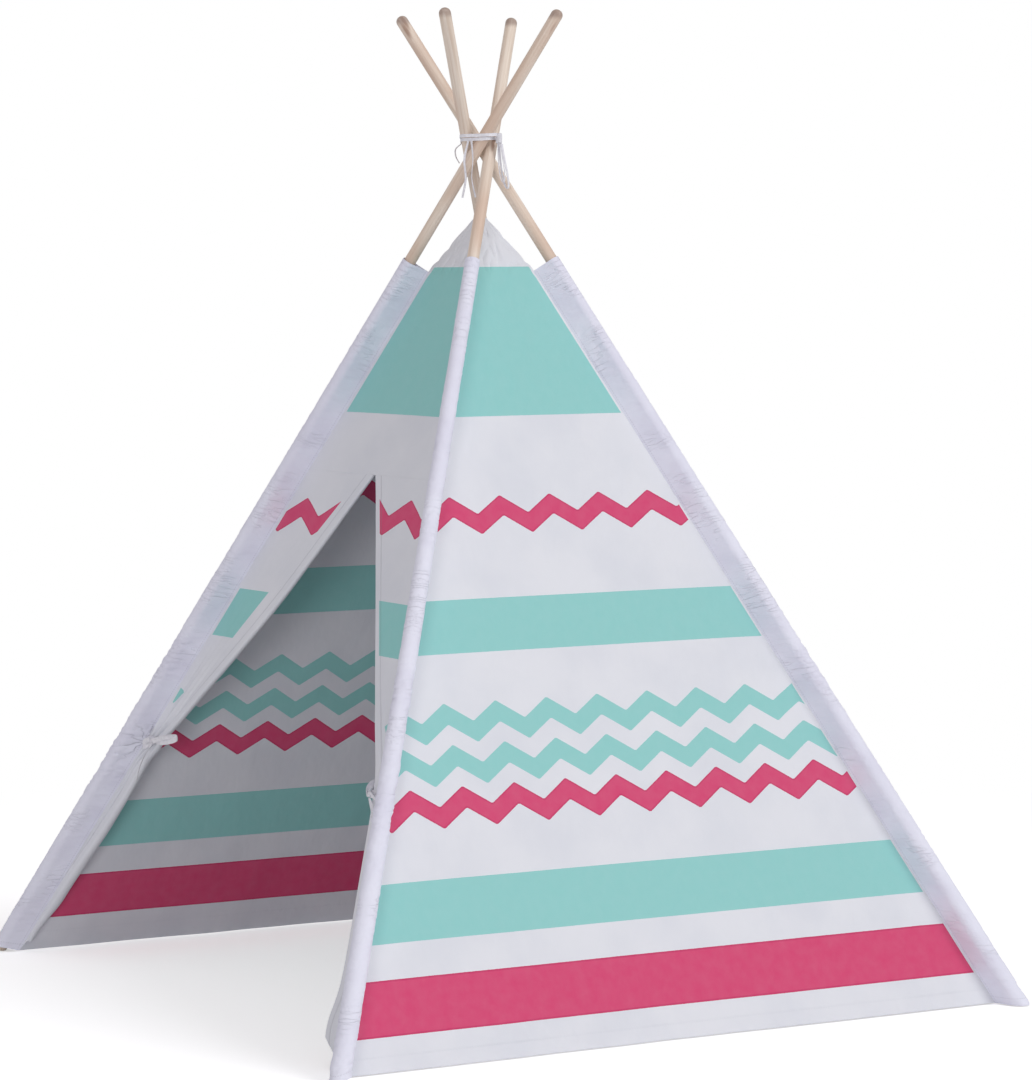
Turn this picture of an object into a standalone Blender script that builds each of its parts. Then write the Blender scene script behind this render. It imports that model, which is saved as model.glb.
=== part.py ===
"""A kids teepee: four poles crossed and lashed, corner sleeves, a cloth cover and two tied-back door flaps.

Metres, +Z up. The origin is on the floor, under the crossing, and the door faces -Y.
"""
import math
from collections import namedtuple

import bmesh
import bpy
import numpy as np
from mathutils import Matrix, Vector

# Poles
HALF_WIDTH = 0.610
HALF_DEPTH = 0.550
CROSSING_HEIGHT = 1.250
CROSSING_OFFSET = 0.0165
POLE_LENGTH = 1.740
POLE_DIAMETER = 0.018
SECTION_COUNT = 3
SECTION_GAP = 0.0004
FOOT_FLAT_DEPTH = 0.001
POLE_SIDES = 16
DOME_STEPS = 4
MERGE_DISTANCE = 0.00001

# Ferrules that join the pole sections
FERRULE_LENGTH = 0.080
FERRULE_WALL = 0.0008
FERRULE_FIT = 0.0003

# Cover
CLOTH = 0.0012
SEAM_INSET = 0.0335
HEM_HEIGHT = 0.006
SHOULDER_DROP = 0.174
PEAK_RISE = 0.075
PEAK_OPENING = 0.002
GAP = 0.0003

# Corner sleeves
SLEEVE_TOP_DROP = 0.197
SLEEVE_TOP_RADIUS = 0.0110
SLEEVE_FOOT_RADIUS = 0.0150
SLEEVE_CLOTH = 0.0009
SEAM_THICKNESS = 0.0020
SEAM_ALLOWANCE = 0.008
SLEEVE_STATIONS = 8
SLEEVE_ARC_POINTS = 15

# Door flaps
DOOR_DROP = 0.307
TIE_HEIGHT = 0.347
TIE_GATHER_WIDTH = 0.043
HEM_GATHER_WIDTH = 0.0655
DOOR_TOP_GAP = 0.004
EDGE_BACK = 0.0016
PINCH_BACK = 0.008
PINCH_SPREAD = 0.040
ROLL_TOP_RADIUS = 0.0026
ROLL_TIE_RADIUS = 0.0045
ROLL_HEM_RADIUS = 0.0090
ROLL_TURN_DEGREES = 285.0
ROLL_FLAT_SHARE = 2.4
FOLD_COUNT = 2
FOLD_START = 0.180
TIE_FOLD_DEPTH = 0.011
HEM_FOLD_DEPTH = 0.016
FLAP_ROWS = 20
FLAP_FLAT_COLUMNS = 18
FLAP_ROLL_COLUMNS = 7
ROW_CROWDING = 1.5

# Door ties
TAPE_WIDTH = 0.010
TAPE_THICKNESS = 0.0009
TIE_CLEARANCE = 0.0008
TIE_CORNER = 0.0022
TIE_CORNER_STEPS = 3
KNOT_SIZE = 0.009
BOW_TAPE_WIDTH = 0.0075
BOW_LOOP_LENGTH = 0.034
BOW_LOOP_FALL = 0.011
BOW_LOOP_DEPTH = 0.011
BOW_LOOP_STEPS = 12
TIE_TAIL_LENGTH = 0.055
TIE_TAIL_SWING = 0.014
TIE_TAIL_STEPS = 10

# Lashing
CORD_DIAMETER = 0.003
LASHING_RISE = 0.018
LASHING_TURNS = 2
LASHING_PITCH = 0.0055
LASHING_TURN_POINTS = 30
LASHING_SLACK = 0.0003
LASHING_KNOT_WIDTH = 0.010
LASHING_KNOT_DEPTH = 0.008
LASHING_KNOT_HEIGHT = 0.016
LASHING_LOOP_DROP = 0.062
LASHING_LOOP_WIDTH = 0.015
LASHING_LOOP_NECK = 0.0045
LASHING_LOOP_SPACING = 0.0040
LASHING_LOOP_SPLAY = 0.004
LASHING_LOOP_START = 0.0015
LASHING_LOOP_LEAN = 0.009
LASHING_LOOP_STEPS = 22
LASHING_LOOP_CURVE = 0.8
KNOT_TURN_DEGREES = -10.0
STRAND_TURN_DEGREES = -20.0
STRAND_DROP = 0.085
STRAND_SPACING = 0.006
STRAND_SWAY = 0.004
STRAND_LEAN = 0.003
TAIL_TURN_DEGREES = 20.0
TAIL_DROP = 0.032
TAIL_SWING = 0.008

SHOULDER_HEIGHT = CROSSING_HEIGHT - SHOULDER_DROP
PEAK_HEIGHT = SHOULDER_HEIGHT + PEAK_RISE
DOOR_TOP = SHOULDER_HEIGHT - DOOR_DROP
LASHING_HEIGHT = CROSSING_HEIGHT + LASHING_RISE
POLE_RADIUS = POLE_DIAMETER / 2
CORD_RADIUS = CORD_DIAMETER / 2
UP = Vector((0, 0, 1))

Corner = namedtuple("Corner", "name side depth")
CORNERS = (
    Corner("front_left", -1, -1),
    Corner("front_right", 1, -1),
    Corner("rear_right", 1, 1),
    Corner("rear_left", -1, 1),
)

Finish = namedtuple("Finish", "color roughness metallic")
WOOD = Finish((0.72, 0.55, 0.38, 1), 0.6, 0)
METAL = Finish((0.72, 0.73, 0.75, 1), 0.35, 1)
WHITE_CLOTH = Finish((0.85, 0.86, 0.90, 1), 0.9, 0)
PRINTED_CLOTH = Finish((0.55, 0.80, 0.76, 1), 0.9, 0)
TAPE = Finish((0.90, 0.90, 0.92, 1), 0.85, 0)


# Scene and object helpers
def clear_scene():
    for obj in list(bpy.data.objects):
        bpy.data.objects.remove(obj)


def new_collection(name):
    collection = bpy.data.collections.new(name)
    bpy.context.scene.collection.children.link(collection)
    return collection


def material(name, finish):
    made = bpy.data.materials.new(name)
    made.use_nodes = True
    shader = made.node_tree.nodes["Principled BSDF"]
    shader.inputs["Base Color"].default_value = finish.color
    shader.inputs["Roughness"].default_value = finish.roughness
    shader.inputs["Metallic"].default_value = finish.metallic
    made.diffuse_color = finish.color
    return made


def add_object(name, data, finish, parent=None, keep_world=False):
    obj = bpy.data.objects.new(name, data)
    TEEPEE.objects.link(obj)
    data.materials.append(material(name, finish))
    if parent is not None:
        obj.parent = parent
        if keep_world:
            obj.matrix_parent_inverse = parent.matrix_world.inverted()
    return obj


def mesh_from(name, bm):
    bmesh.ops.recalc_face_normals(bm, faces=bm.faces)
    mesh = bpy.data.meshes.new(name)
    bm.to_mesh(mesh)
    bm.free()
    return mesh


def smooth(mesh, angle_degrees=40.0):
    mesh.shade_smooth()
    mesh.set_sharp_from_angle(angle=math.radians(angle_degrees))


def loft(name, loops, cyclic=False):
    """A closed solid through loops of equal length: capped, or joined last to first."""
    bm = bmesh.new()
    rings = [[bm.verts.new(point) for point in loop] for loop in loops]
    pairs = list(zip(rings, rings[1:]))
    if cyclic:
        pairs.append((rings[-1], rings[0]))
    for low, high in pairs:
        for index in range(len(low)):
            following = (index + 1) % len(low)
            bm.faces.new((low[index], low[following], high[following], high[index]))
    if not cyclic:
        bm.faces.new(rings[0])
        bm.faces.new(rings[-1])
    return mesh_from(name, bm)


def turned(name, profile):
    """A mesh object turned about local Z from an outline of (radius, height), run top to bottom."""
    bm = bmesh.new()
    verts = [bm.verts.new((radius, 0, height)) for radius, height in profile]
    for first, second in zip(verts, verts[1:]):
        bm.edges.new((first, second))
    if profile[0][0] > 0:
        bm.edges.new((verts[-1], verts[0]))
    mesh = bpy.data.meshes.new(name)
    bm.to_mesh(mesh)
    bm.free()
    return mesh


def screw(obj):
    modifier = obj.modifiers.new("Turn", "SCREW")
    modifier.axis = "Z"
    modifier.steps = POLE_SIDES
    modifier.render_steps = POLE_SIDES
    modifier.use_merge_vertices = True
    modifier.merge_threshold = MERGE_DISTANCE
    modifier.use_smooth_shade = True


def cord_object(name, points, diameter, finish, parent=None):
    curve = bpy.data.curves.new(name, "CURVE")
    curve.dimensions = "3D"
    curve.bevel_depth = diameter / 2
    curve.bevel_resolution = 2
    curve.use_fill_caps = True
    spline = curve.splines.new("POLY")
    spline.points.add(len(points) - 1)
    for place, point in zip(spline.points, points):
        place.co = (*point, 1)
    return add_object(name, curve, finish, parent, keep_world=True)


def smooth_route(points, spacing):
    """Points every spacing along a smooth curve through the given points."""
    knots = [Vector(point) for point in points]
    padded = [2 * knots[0] - knots[1], *knots, 2 * knots[-1] - knots[-2]]
    route = [knots[0]]
    for before, start, end, after in zip(padded, padded[1:], padded[2:], padded[3:]):
        steps = max(1, round((end - start).length / spacing))
        for step in range(1, steps + 1):
            t = step / steps
            lean_in = (end - before) / 2
            lean_out = (after - start) / 2
            route.append(
                start * (2 * t**3 - 3 * t**2 + 1)
                + lean_in * (t**3 - 2 * t**2 + t)
                + end * (3 * t**2 - 2 * t**3)
                + lean_out * (t**3 - t**2)
            )
    return route


def ribbon(name, route, across, parent, width=TAPE_WIDTH):
    """A flat tape along a route, its width along the given directions."""
    bm = bmesh.new()
    rows = []
    for point, direction in zip(route, across):
        half = Vector(direction).normalized() * width / 2
        rows.append((bm.verts.new(Vector(point) - half), bm.verts.new(Vector(point) + half)))
    for low, high in zip(rows, rows[1:]):
        bm.faces.new((low[0], low[1], high[1], high[0]))
    mesh = mesh_from(name, bm)
    obj = add_object(name, mesh, TAPE, parent, keep_world=True)
    thicken(obj, TAPE_THICKNESS, 0)
    return obj


def thicken(obj, thickness, offset):
    modifier = obj.modifiers.new("Thickness", "SOLIDIFY")
    modifier.thickness = thickness
    modifier.offset = offset
    modifier.use_even_offset = True


# Pole geometry
class Pole:
    """One pole's line, hinge and local frame: local Z up the pole, local X towards the cover."""

    def __init__(self, corner):
        self.name = corner.name
        self.corner = corner
        self.foot = Vector((corner.side * HALF_WIDTH, corner.depth * HALF_DEPTH, 0))
        sideways = UP.cross(self.foot.normalized())
        self.pivot = sideways * CROSSING_OFFSET + UP * CROSSING_HEIGHT
        run = self.foot - self.pivot
        self.below = run.length
        self.outward = Vector((run.x, run.y, 0)).normalized()
        self.tilt = math.atan2(Vector((run.x, run.y, 0)).length, CROSSING_HEIGHT)
        self.hinge_axis = UP.cross(self.outward)
        along = -run.normalized()
        inward = (-self.outward * math.cos(self.tilt) - UP * math.sin(self.tilt)).normalized()
        across = along.cross(inward)
        frame = Matrix((inward, across, along)).transposed().to_4x4()
        self.matrix = Matrix.Translation(self.pivot) @ frame
        self.empty = bpy.data.objects.new(corner.name + "_pivot", None)
        self.empty.matrix_world = self.matrix
        TEEPEE.objects.link(self.empty)

    def bearing(self, turn_degrees=0):
        """The direction of the foot from above, in radians, turned by some degrees."""
        return math.atan2(self.foot.y, self.foot.x) + math.radians(turn_degrees)

    def height_to_local(self, height):
        return (height - CROSSING_HEIGHT) / math.cos(self.tilt)

    def centre(self, height):
        return self.matrix @ Vector((0, 0, self.height_to_local(height)))

    def seam(self, local_z):
        """The cover's corner ridge in the pole's frame, at one place along the pole."""
        inverse = self.matrix.inverted()
        low = inverse @ ridge(self.corner, 0)
        high = inverse @ ridge(self.corner, SHOULDER_HEIGHT)
        share = (local_z - low.z) / (high.z - low.z)
        return low.lerp(high, share)


# Cover geometry
HALF_DIAGONAL = math.hypot(HALF_WIDTH, HALF_DEPTH)
INSET_SHARE = 1 - SEAM_INSET / HALF_DIAGONAL
COVER_WIDTH = HALF_WIDTH * INSET_SHARE
COVER_DEPTH = HALF_DEPTH * INSET_SHARE
COVER_APEX = CROSSING_HEIGHT * INSET_SHARE


def cover_share(height):
    """How wide the cover is at a height, as a share of its width at the floor."""
    if height <= SHOULDER_HEIGHT:
        return 1 - height / COVER_APEX
    shoulder = 1 - SHOULDER_HEIGHT / COVER_APEX
    return shoulder * (PEAK_HEIGHT - height) / (PEAK_HEIGHT - SHOULDER_HEIGHT)


def ridge(corner, height):
    share = cover_share(height)
    return Vector((corner.side * COVER_WIDTH * share, corner.depth * COVER_DEPTH * share, height))


def face_slope(half_size, height):
    """Angle of a face from the vertical."""
    if height < SHOULDER_HEIGHT:
        return math.atan2(half_size, COVER_APEX)
    shoulder = half_size * cover_share(SHOULDER_HEIGHT)
    return math.atan2(shoulder, PEAK_HEIGHT - SHOULDER_HEIGHT)


def cloth_section(facing, height, slope_height):
    """Four corners of one cover face, cut level: outside left and right, inside right and left."""
    share = cover_share(height)
    away, along = (COVER_WIDTH, COVER_DEPTH) if facing.x else (COVER_DEPTH, COVER_WIDTH)
    side = UP.cross(facing)
    away_depth = CLOTH / math.cos(face_slope(away, slope_height))
    along_depth = CLOTH / math.cos(face_slope(along, slope_height))
    outer_away = away * share
    outer_along = along * share - GAP
    inner_away = outer_away - away_depth
    inner_along = outer_along - along_depth
    level = UP * height
    return (
        level + facing * outer_away - side * outer_along,
        level + facing * outer_away + side * outer_along,
        level + facing * inner_away + side * inner_along,
        level + facing * inner_away - side * inner_along,
    )


def cover_face(name, facing, parent, bottom=HEM_HEIGHT):
    """One face of the cover, from its lower edge over the shoulder to the peak."""
    mean_size = (COVER_WIDTH + COVER_DEPTH) / 2
    top_share = (PEAK_OPENING + CLOTH * 2) / (mean_size * cover_share(SHOULDER_HEIGHT))
    top = PEAK_HEIGHT - (PEAK_HEIGHT - SHOULDER_HEIGHT) * top_share
    loops = (
        cloth_section(facing, bottom, bottom),
        cloth_section(facing, SHOULDER_HEIGHT, bottom),
        cloth_section(facing, top, top),
    )
    return add_object(name, loft(name, loops), PRINTED_CLOTH, parent.empty, keep_world=True)


# Poles and ferrules
def dome(radius, top):
    """Rounded end of a turned outline, from the tip outwards."""
    angles = [math.pi / 2 * step / DOME_STEPS for step in range(DOME_STEPS + 1)]
    return [(radius * math.sin(angle), top - radius * (1 - math.cos(angle))) for angle in angles]


def pole_sections(pole, ground):
    low = pole.height_to_local(POLE_RADIUS - FOOT_FLAT_DEPTH) - POLE_RADIUS
    high = low + POLE_LENGTH
    length = (high - low) / SECTION_COUNT
    for index, part in enumerate(("lower", "middle", "upper")):
        start = low + index * length + SECTION_GAP / 2
        end = low + (index + 1) * length - SECTION_GAP / 2
        name = f"{pole.name}_pole_{part}"
        outline = [(0, end), (POLE_RADIUS, end)]
        if part == "upper":
            outline = dome(POLE_RADIUS, end)
        foot = [(POLE_RADIUS, start), (0, start)]
        if part == "lower":
            foot = [(radius, 2 * start - z) for radius, z in reversed(dome(POLE_RADIUS, start))]
        obj = add_object(name, turned(name, outline + foot), WOOD, pole.empty)
        screw(obj)
        if part == "lower":
            cut = obj.modifiers.new("Floor", "BOOLEAN")
            cut.operation = "DIFFERENCE"
            cut.solver = "EXACT"
            cut.object = ground
    for index, part in enumerate(("lower", "upper")):
        middle = low + (index + 1) * length
        inner = POLE_RADIUS + FERRULE_FIT
        outer = inner + FERRULE_WALL
        half = FERRULE_LENGTH / 2
        name = f"{pole.name}_{part}_ferrule"
        top = middle + half
        bottom = middle - half
        outline = [(inner, top), (outer, top), (outer, bottom), (inner, bottom)]
        screw(add_object(name, turned(name, outline), METAL, pole.empty))


# Corner sleeves
def sleeve_ring(pole, local_z, radius, level_share, inset):
    """One loop of a sleeve, round the pole and straight to the cover's corner, moved in by inset."""
    seam = pole.seam(local_z)
    reach = math.hypot(seam.x, seam.y) - GAP
    flank = math.asin((radius - SEAM_THICKNESS / 2) / reach)
    inner_radius = radius - inset
    tip_reach = reach
    tip_half = SEAM_THICKNESS / 2
    if inset:
        tip_reach = reach - SEAM_ALLOWANCE
        tip_half = (inner_radius - tip_reach * math.sin(flank)) / math.cos(flank)
    points = [Vector((tip_reach, tip_half))]
    first = math.pi / 2 - flank
    for step in range(SLEEVE_ARC_POINTS):
        angle = first + (2 * math.pi - 2 * first) * step / (SLEEVE_ARC_POINTS - 1)
        points.append(Vector((inner_radius * math.cos(angle), inner_radius * math.sin(angle))))
    points.append(Vector((tip_reach, -tip_half)))
    turn = Matrix.Rotation(math.atan2(seam.y, seam.x), 2)
    lean = math.tan(pole.tilt) * level_share
    ring = []
    for point in points:
        point.rotate(turn)
        ring.append(Vector((point.x, point.y, local_z + point.x * lean)))
    return ring


def sleeve(pole):
    bottom = pole.height_to_local(HEM_HEIGHT)
    top = -SLEEVE_TOP_DROP
    outer = []
    inner = []
    for station in range(SLEEVE_STATIONS):
        share = station / (SLEEVE_STATIONS - 1)
        local_z = bottom + (top - bottom) * share
        radius = SLEEVE_FOOT_RADIUS + (SLEEVE_TOP_RADIUS - SLEEVE_FOOT_RADIUS) * share
        outer.append(sleeve_ring(pole, local_z, radius, 1 - share, 0))
        inner.append(sleeve_ring(pole, local_z, radius, 1 - share, SLEEVE_CLOTH))
    mesh = loft(pole.name + "_sleeve", outer + inner[::-1], cyclic=True)
    smooth(mesh)
    add_object(pole.name + "_sleeve", mesh, WHITE_CLOTH, pole.empty)


# Door flaps
def ease(value):
    value = min(1, max(0, value))
    return value * value * (3 - 2 * value)


def outer_edge(height):
    """How far the flap's sewn edge is from the middle, drawn in where the tie pinches it."""
    pinch = math.exp(-(((height - TIE_HEIGHT) / PINCH_SPREAD) ** 2))
    return COVER_WIDTH * cover_share(height) - EDGE_BACK - PINCH_BACK * pinch


def door_edge(height):
    """How far the flap's free edge is from the middle at a height."""
    tie_edge = outer_edge(TIE_HEIGHT) - TIE_GATHER_WIDTH
    hem_edge = outer_edge(HEM_HEIGHT) - HEM_GATHER_WIDTH
    if height >= TIE_HEIGHT:
        share = (DOOR_TOP - height) / (DOOR_TOP - TIE_HEIGHT)
        return DOOR_TOP_GAP + (tie_edge - DOOR_TOP_GAP) * share
    share = (TIE_HEIGHT - height) / (TIE_HEIGHT - HEM_HEIGHT)
    return tie_edge + (hem_edge - tie_edge) * share


def roll_radius(height):
    if height >= TIE_HEIGHT:
        share = (DOOR_TOP - height) / (DOOR_TOP - TIE_HEIGHT)
        return ROLL_TOP_RADIUS + (ROLL_TIE_RADIUS - ROLL_TOP_RADIUS) * share
    share = (TIE_HEIGHT - height) / (TIE_HEIGHT - HEM_HEIGHT)
    return ROLL_TIE_RADIUS + (ROLL_HEM_RADIUS - ROLL_TIE_RADIUS) * share


def fold_depth(height):
    if height >= TIE_HEIGHT:
        return TIE_FOLD_DEPTH * ease(1 - (height - TIE_HEIGHT) / FOLD_START)
    share = (TIE_HEIGHT - height) / (TIE_HEIGHT - HEM_HEIGHT)
    return TIE_FOLD_DEPTH + (HEM_FOLD_DEPTH - TIE_FOLD_DEPTH) * share


FRONT_SLOPE = math.atan2(COVER_DEPTH, COVER_APEX)


def front_point(side, across, height, depth):
    """A point by its distance from the middle, its height and its depth inside the front face."""
    level_depth = depth / math.cos(FRONT_SLOPE)
    return Vector((side * across, level_depth - COVER_DEPTH * cover_share(height), height))


def flap_heights():
    """Rows of a flap, closest together at the tie."""
    top = DOOR_TOP - GAP
    below = FLAP_ROWS // 2
    above = FLAP_ROWS - below
    rise = TIE_HEIGHT - HEM_HEIGHT
    lower = [HEM_HEIGHT + rise * math.sin(math.pi / 2 * row / below) for row in range(below)]
    upper = [TIE_HEIGHT + (top - TIE_HEIGHT) * (row / above) ** ROW_CROWDING for row in range(above + 1)]
    return lower + upper


def flap(name, side, pole):
    bm = bmesh.new()
    rows = []
    for height in flap_heights():
        radius = roll_radius(height)
        start = outer_edge(height)
        end = door_edge(height) + radius
        depth = fold_depth(height)
        row = []
        folds_end = 1 - min(1, ROLL_FLAT_SHARE * radius / (start - end))
        for column in range(FLAP_FLAT_COLUMNS):
            share = column / (FLAP_FLAT_COLUMNS - 1)
            wave = min(1, share / folds_end) if folds_end else 1
            folded = depth * (1 - math.cos(2 * math.pi * FOLD_COUNT * wave)) / 2
            row.append(front_point(side, start + (end - start) * share, height, CLOTH / 2 + folded))
        for column in range(1, FLAP_ROLL_COLUMNS + 1):
            angle = math.radians(ROLL_TURN_DEGREES) * column / FLAP_ROLL_COLUMNS
            across = end - radius * math.sin(angle)
            inside = CLOTH / 2 + radius * (1 - math.cos(angle))
            row.append(front_point(side, across, height, inside))
        rows.append([bm.verts.new(point) for point in row])
    for low, high in zip(rows, rows[1:]):
        for index in range(len(low) - 1):
            bm.faces.new((low[index], low[index + 1], high[index + 1], high[index]))
    mesh = mesh_from(name, bm)
    smooth(mesh)
    obj = add_object(name, mesh, PRINTED_CLOTH, pole.empty, keep_world=True)
    thicken(obj, CLOTH, 0)


# Door ties
def tie_outline(side, height, spread):
    """A rounded loop round the gathered flap at a height, grown by spread."""
    start = outer_edge(height)
    end = door_edge(height) - CLOTH / 2
    depth = max(fold_depth(height), 2 * roll_radius(height)) + CLOTH
    middle = (start + end) / 2
    half_width = (start - end) / 2 + spread
    half_depth = depth / 2 + spread
    corner = TIE_CORNER
    points = []
    for quarter in range(4):
        for step in range(TIE_CORNER_STEPS + 1):
            angle = math.pi / 2 * (quarter + step / TIE_CORNER_STEPS)
            centre_x = (half_width - corner) * (1 if quarter in (0, 3) else -1)
            centre_y = (half_depth - corner) * (1 if quarter in (0, 1) else -1)
            across = middle + centre_x + corner * math.cos(angle)
            inside = depth / 2 + centre_y + corner * math.sin(angle)
            points.append(front_point(side, across, height, inside))
    return points


def door_tie(prefix, side, pole):
    low = TIE_HEIGHT - TAPE_WIDTH / 2
    high = TIE_HEIGHT + TAPE_WIDTH / 2
    inner = TIE_CLEARANCE
    outer = inner + TAPE_THICKNESS
    loops = (
        tie_outline(side, low, outer),
        tie_outline(side, high, outer),
        tie_outline(side, high, inner),
        tie_outline(side, low, inner),
    )
    name = prefix + "_tie_band"
    add_object(name, loft(name, loops, cyclic=True), TAPE, pole.empty, keep_world=True)

    front = -(outer + GAP)
    knot_at = door_edge(TIE_HEIGHT) + KNOT_SIZE
    knot_centre = front_point(side, knot_at, TIE_HEIGHT, front - KNOT_SIZE / 2)
    turn = Matrix.Rotation(-FRONT_SLOPE, 3, "X")
    knot(prefix + "_tie_knot", knot_centre, (KNOT_SIZE, KNOT_SIZE, KNOT_SIZE), turn, pole.empty)
    for label, direction in (("inner", -1), ("outer", 1)):
        bow_loop(prefix, label, side, direction, knot_at, front, pole)
    tie_tail(prefix, side, knot_at, front, pole)


def knot(name, centre, size, turn, parent):
    bm = bmesh.new()
    bmesh.ops.create_cube(bm, size=1)
    bmesh.ops.scale(bm, verts=bm.verts, vec=size)
    bmesh.ops.rotate(bm, verts=bm.verts, matrix=turn)
    bmesh.ops.translate(bm, verts=bm.verts, vec=centre)
    obj = add_object(name, mesh_from(name, bm), TAPE, parent, keep_world=True)
    bevel = obj.modifiers.new("Rounded", "BEVEL")
    bevel.width = min(size) / 4
    bevel.segments = 2


def bow_loop(prefix, label, side, direction, knot_at, front, pole):
    """One drooping loop of the bow, starting and ending beside the knot."""
    reach = KNOT_SIZE / 2 + GAP
    route = []
    for step in range(BOW_LOOP_STEPS + 1):
        share = step / BOW_LOOP_STEPS
        swing = math.sin(math.pi * share)
        across = knot_at + direction * (reach + BOW_LOOP_LENGTH * swing)
        fall = BOW_LOOP_FALL * swing
        belly = BOW_LOOP_DEPTH * (share - 1 / 2) * (1 + swing) / 2
        inside = front - KNOT_SIZE / 2 + belly
        route.append(front_point(side, across, TIE_HEIGHT - fall, inside))
    up_face = Vector((0, math.sin(FRONT_SLOPE), math.cos(FRONT_SLOPE)))
    tilt = [up_face] * len(route)
    ribbon(f"{prefix}_tie_{label}_loop", route, tilt, pole.empty, BOW_TAPE_WIDTH)


def tie_tail(prefix, side, knot_at, front, pole):
    start = TIE_HEIGHT - KNOT_SIZE / 2 - GAP
    route = []
    across_directions = []
    for step in range(TIE_TAIL_STEPS + 1):
        share = step / TIE_TAIL_STEPS
        height = start - TIE_TAIL_LENGTH * share
        curl = KNOT_SIZE * math.sin(math.pi * share) / 2
        across = knot_at + TIE_TAIL_SWING * share
        route.append(front_point(side, across, height, front - KNOT_SIZE / 2 - curl))
        across_directions.append(Vector((1, side * share / 3, 0)))
    ribbon(f"{prefix}_tie_tail", route, across_directions, pole.empty, BOW_TAPE_WIDTH)


# Lashing
def hull_reach(poles, height, angle):
    """How far the four crossed poles reach from the axis in one level direction."""
    normal = Vector((math.cos(angle), math.sin(angle), 0))
    reaches = []
    for pole in poles:
        centre = pole.centre(height)
        long_radius = POLE_RADIUS / math.cos(pole.tilt)
        along = normal.dot(pole.outward)
        across = normal.dot(pole.hinge_axis)
        ellipse = math.hypot(long_radius * along, POLE_RADIUS * across)
        reaches.append(normal.x * centre.x + normal.y * centre.y + ellipse)
    return max(reaches)


def wrap_point(poles, height, angle, spread):
    """A point of a taut loop round the poles, from the reach in each direction."""
    step = math.pi / LASHING_TURN_POINTS
    reach = hull_reach(poles, height, angle)
    before = hull_reach(poles, height, angle - step)
    after = hull_reach(poles, height, angle + step)
    change = (after - before) / (2 * step)
    normal = Vector((math.cos(angle), math.sin(angle), 0))
    along = Vector((-math.sin(angle), math.cos(angle), 0))
    return normal * (reach + spread) + along * change + UP * height


class KnotFrame:
    """The lashing knot's place: outwards from the axis, round the poles and up."""

    def __init__(self, poles, bearing):
        self.bearing = bearing
        self.out = Vector((math.cos(bearing), math.sin(bearing), 0))
        self.round = Vector((-math.sin(bearing), math.cos(bearing), 0))
        reach = hull_reach(poles, LASHING_HEIGHT, bearing) + GAP + LASHING_SLACK + CORD_DIAMETER
        self.centre = self.out * (reach + GAP + LASHING_KNOT_DEPTH / 2) + UP * LASHING_HEIGHT

    def place(self, out, round_by, up):
        return self.centre + self.out * out + self.round * round_by + UP * up


def lashing_wrap(poles, frame, crown):
    """The tape's taut turns round the poles, both ends straight into the sides of the knot."""
    spread = CORD_RADIUS + GAP + LASHING_SLACK
    count = LASHING_TURNS * LASHING_TURN_POINTS
    rise = LASHING_PITCH * LASHING_TURNS
    side = LASHING_KNOT_WIDTH / 2 + GAP
    wrap = [frame.place(0, side, -rise / 2), frame.place(0, side + CORD_DIAMETER, -rise / 2)]
    for index in range(3, count - 2):
        share = index / count
        angle = frame.bearing + 2 * math.pi * LASHING_TURNS * share
        height = LASHING_HEIGHT + rise * (share - 1 / 2)
        wrap.append(wrap_point(poles, height, angle, spread))
    wrap += [frame.place(0, -side - CORD_DIAMETER, rise / 2), frame.place(0, -side, rise / 2)]
    cord_object("lashing_wrap", wrap, CORD_DIAMETER, TAPE, crown)
    places = np.array([tuple(point) for point in wrap])
    apart = np.linalg.norm(places[:, None] - places[None], axis=2)
    order = np.arange(len(places))
    other_turn = np.abs(order[:, None] - order[None]) > LASHING_TURN_POINTS // 2
    least = apart[other_turn].min() - CORD_DIAMETER
    print(f"lashing_wrap: least gap to itself {least:.5f} m")
    return wrap


def lashing_bow(frame, crown):
    """The knot and two loops that hang from it."""
    size = (LASHING_KNOT_DEPTH, LASHING_KNOT_WIDTH, LASHING_KNOT_HEIGHT)
    turn = Matrix((frame.out, frame.round, UP)).transposed()
    knot("lashing_knot", frame.centre, size, turn, crown)
    top = -LASHING_KNOT_HEIGHT / 2 - GAP
    for label, side in (("a", -1), ("b", 1)):
        drop = LASHING_LOOP_DROP + side * LASHING_LOOP_NECK
        route = []
        for step in range(LASHING_LOOP_STEPS + 1):
            share = step / LASHING_LOOP_STEPS
            swing = math.sin(math.pi * share)
            fall = swing**LASHING_LOOP_CURVE
            half = LASHING_LOOP_NECK / 2 + (LASHING_LOOP_WIDTH - LASHING_LOOP_NECK) / 2 * swing
            out = LASHING_LOOP_START + LASHING_LOOP_LEAN * swing - half * math.cos(math.pi * share)
            splay = side * (LASHING_LOOP_SPACING / 2 + LASHING_LOOP_SPLAY * swing)
            route.append(frame.place(out, splay, top - drop * fall))
        cord_object(f"lashing_loop_{label}", route, CORD_DIAMETER, TAPE, crown)


def under_wrap(wrap, bearing):
    """The place just under the tape's first turn at a bearing, with the directions out and along."""
    out = Vector((math.cos(bearing), math.sin(bearing), 0))
    for start, end in zip(wrap, wrap[1:]):
        before = out.cross(start).z
        after = out.cross(end).z
        if before < 0 <= after and out.dot(start) > 0:
            place = start.lerp(end, before / (before - after))
            return place - UP * (CORD_RADIUS + GAP), out, (end - start).normalized()
    raise ValueError("the tape's first turn doesn't reach this bearing")


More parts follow.
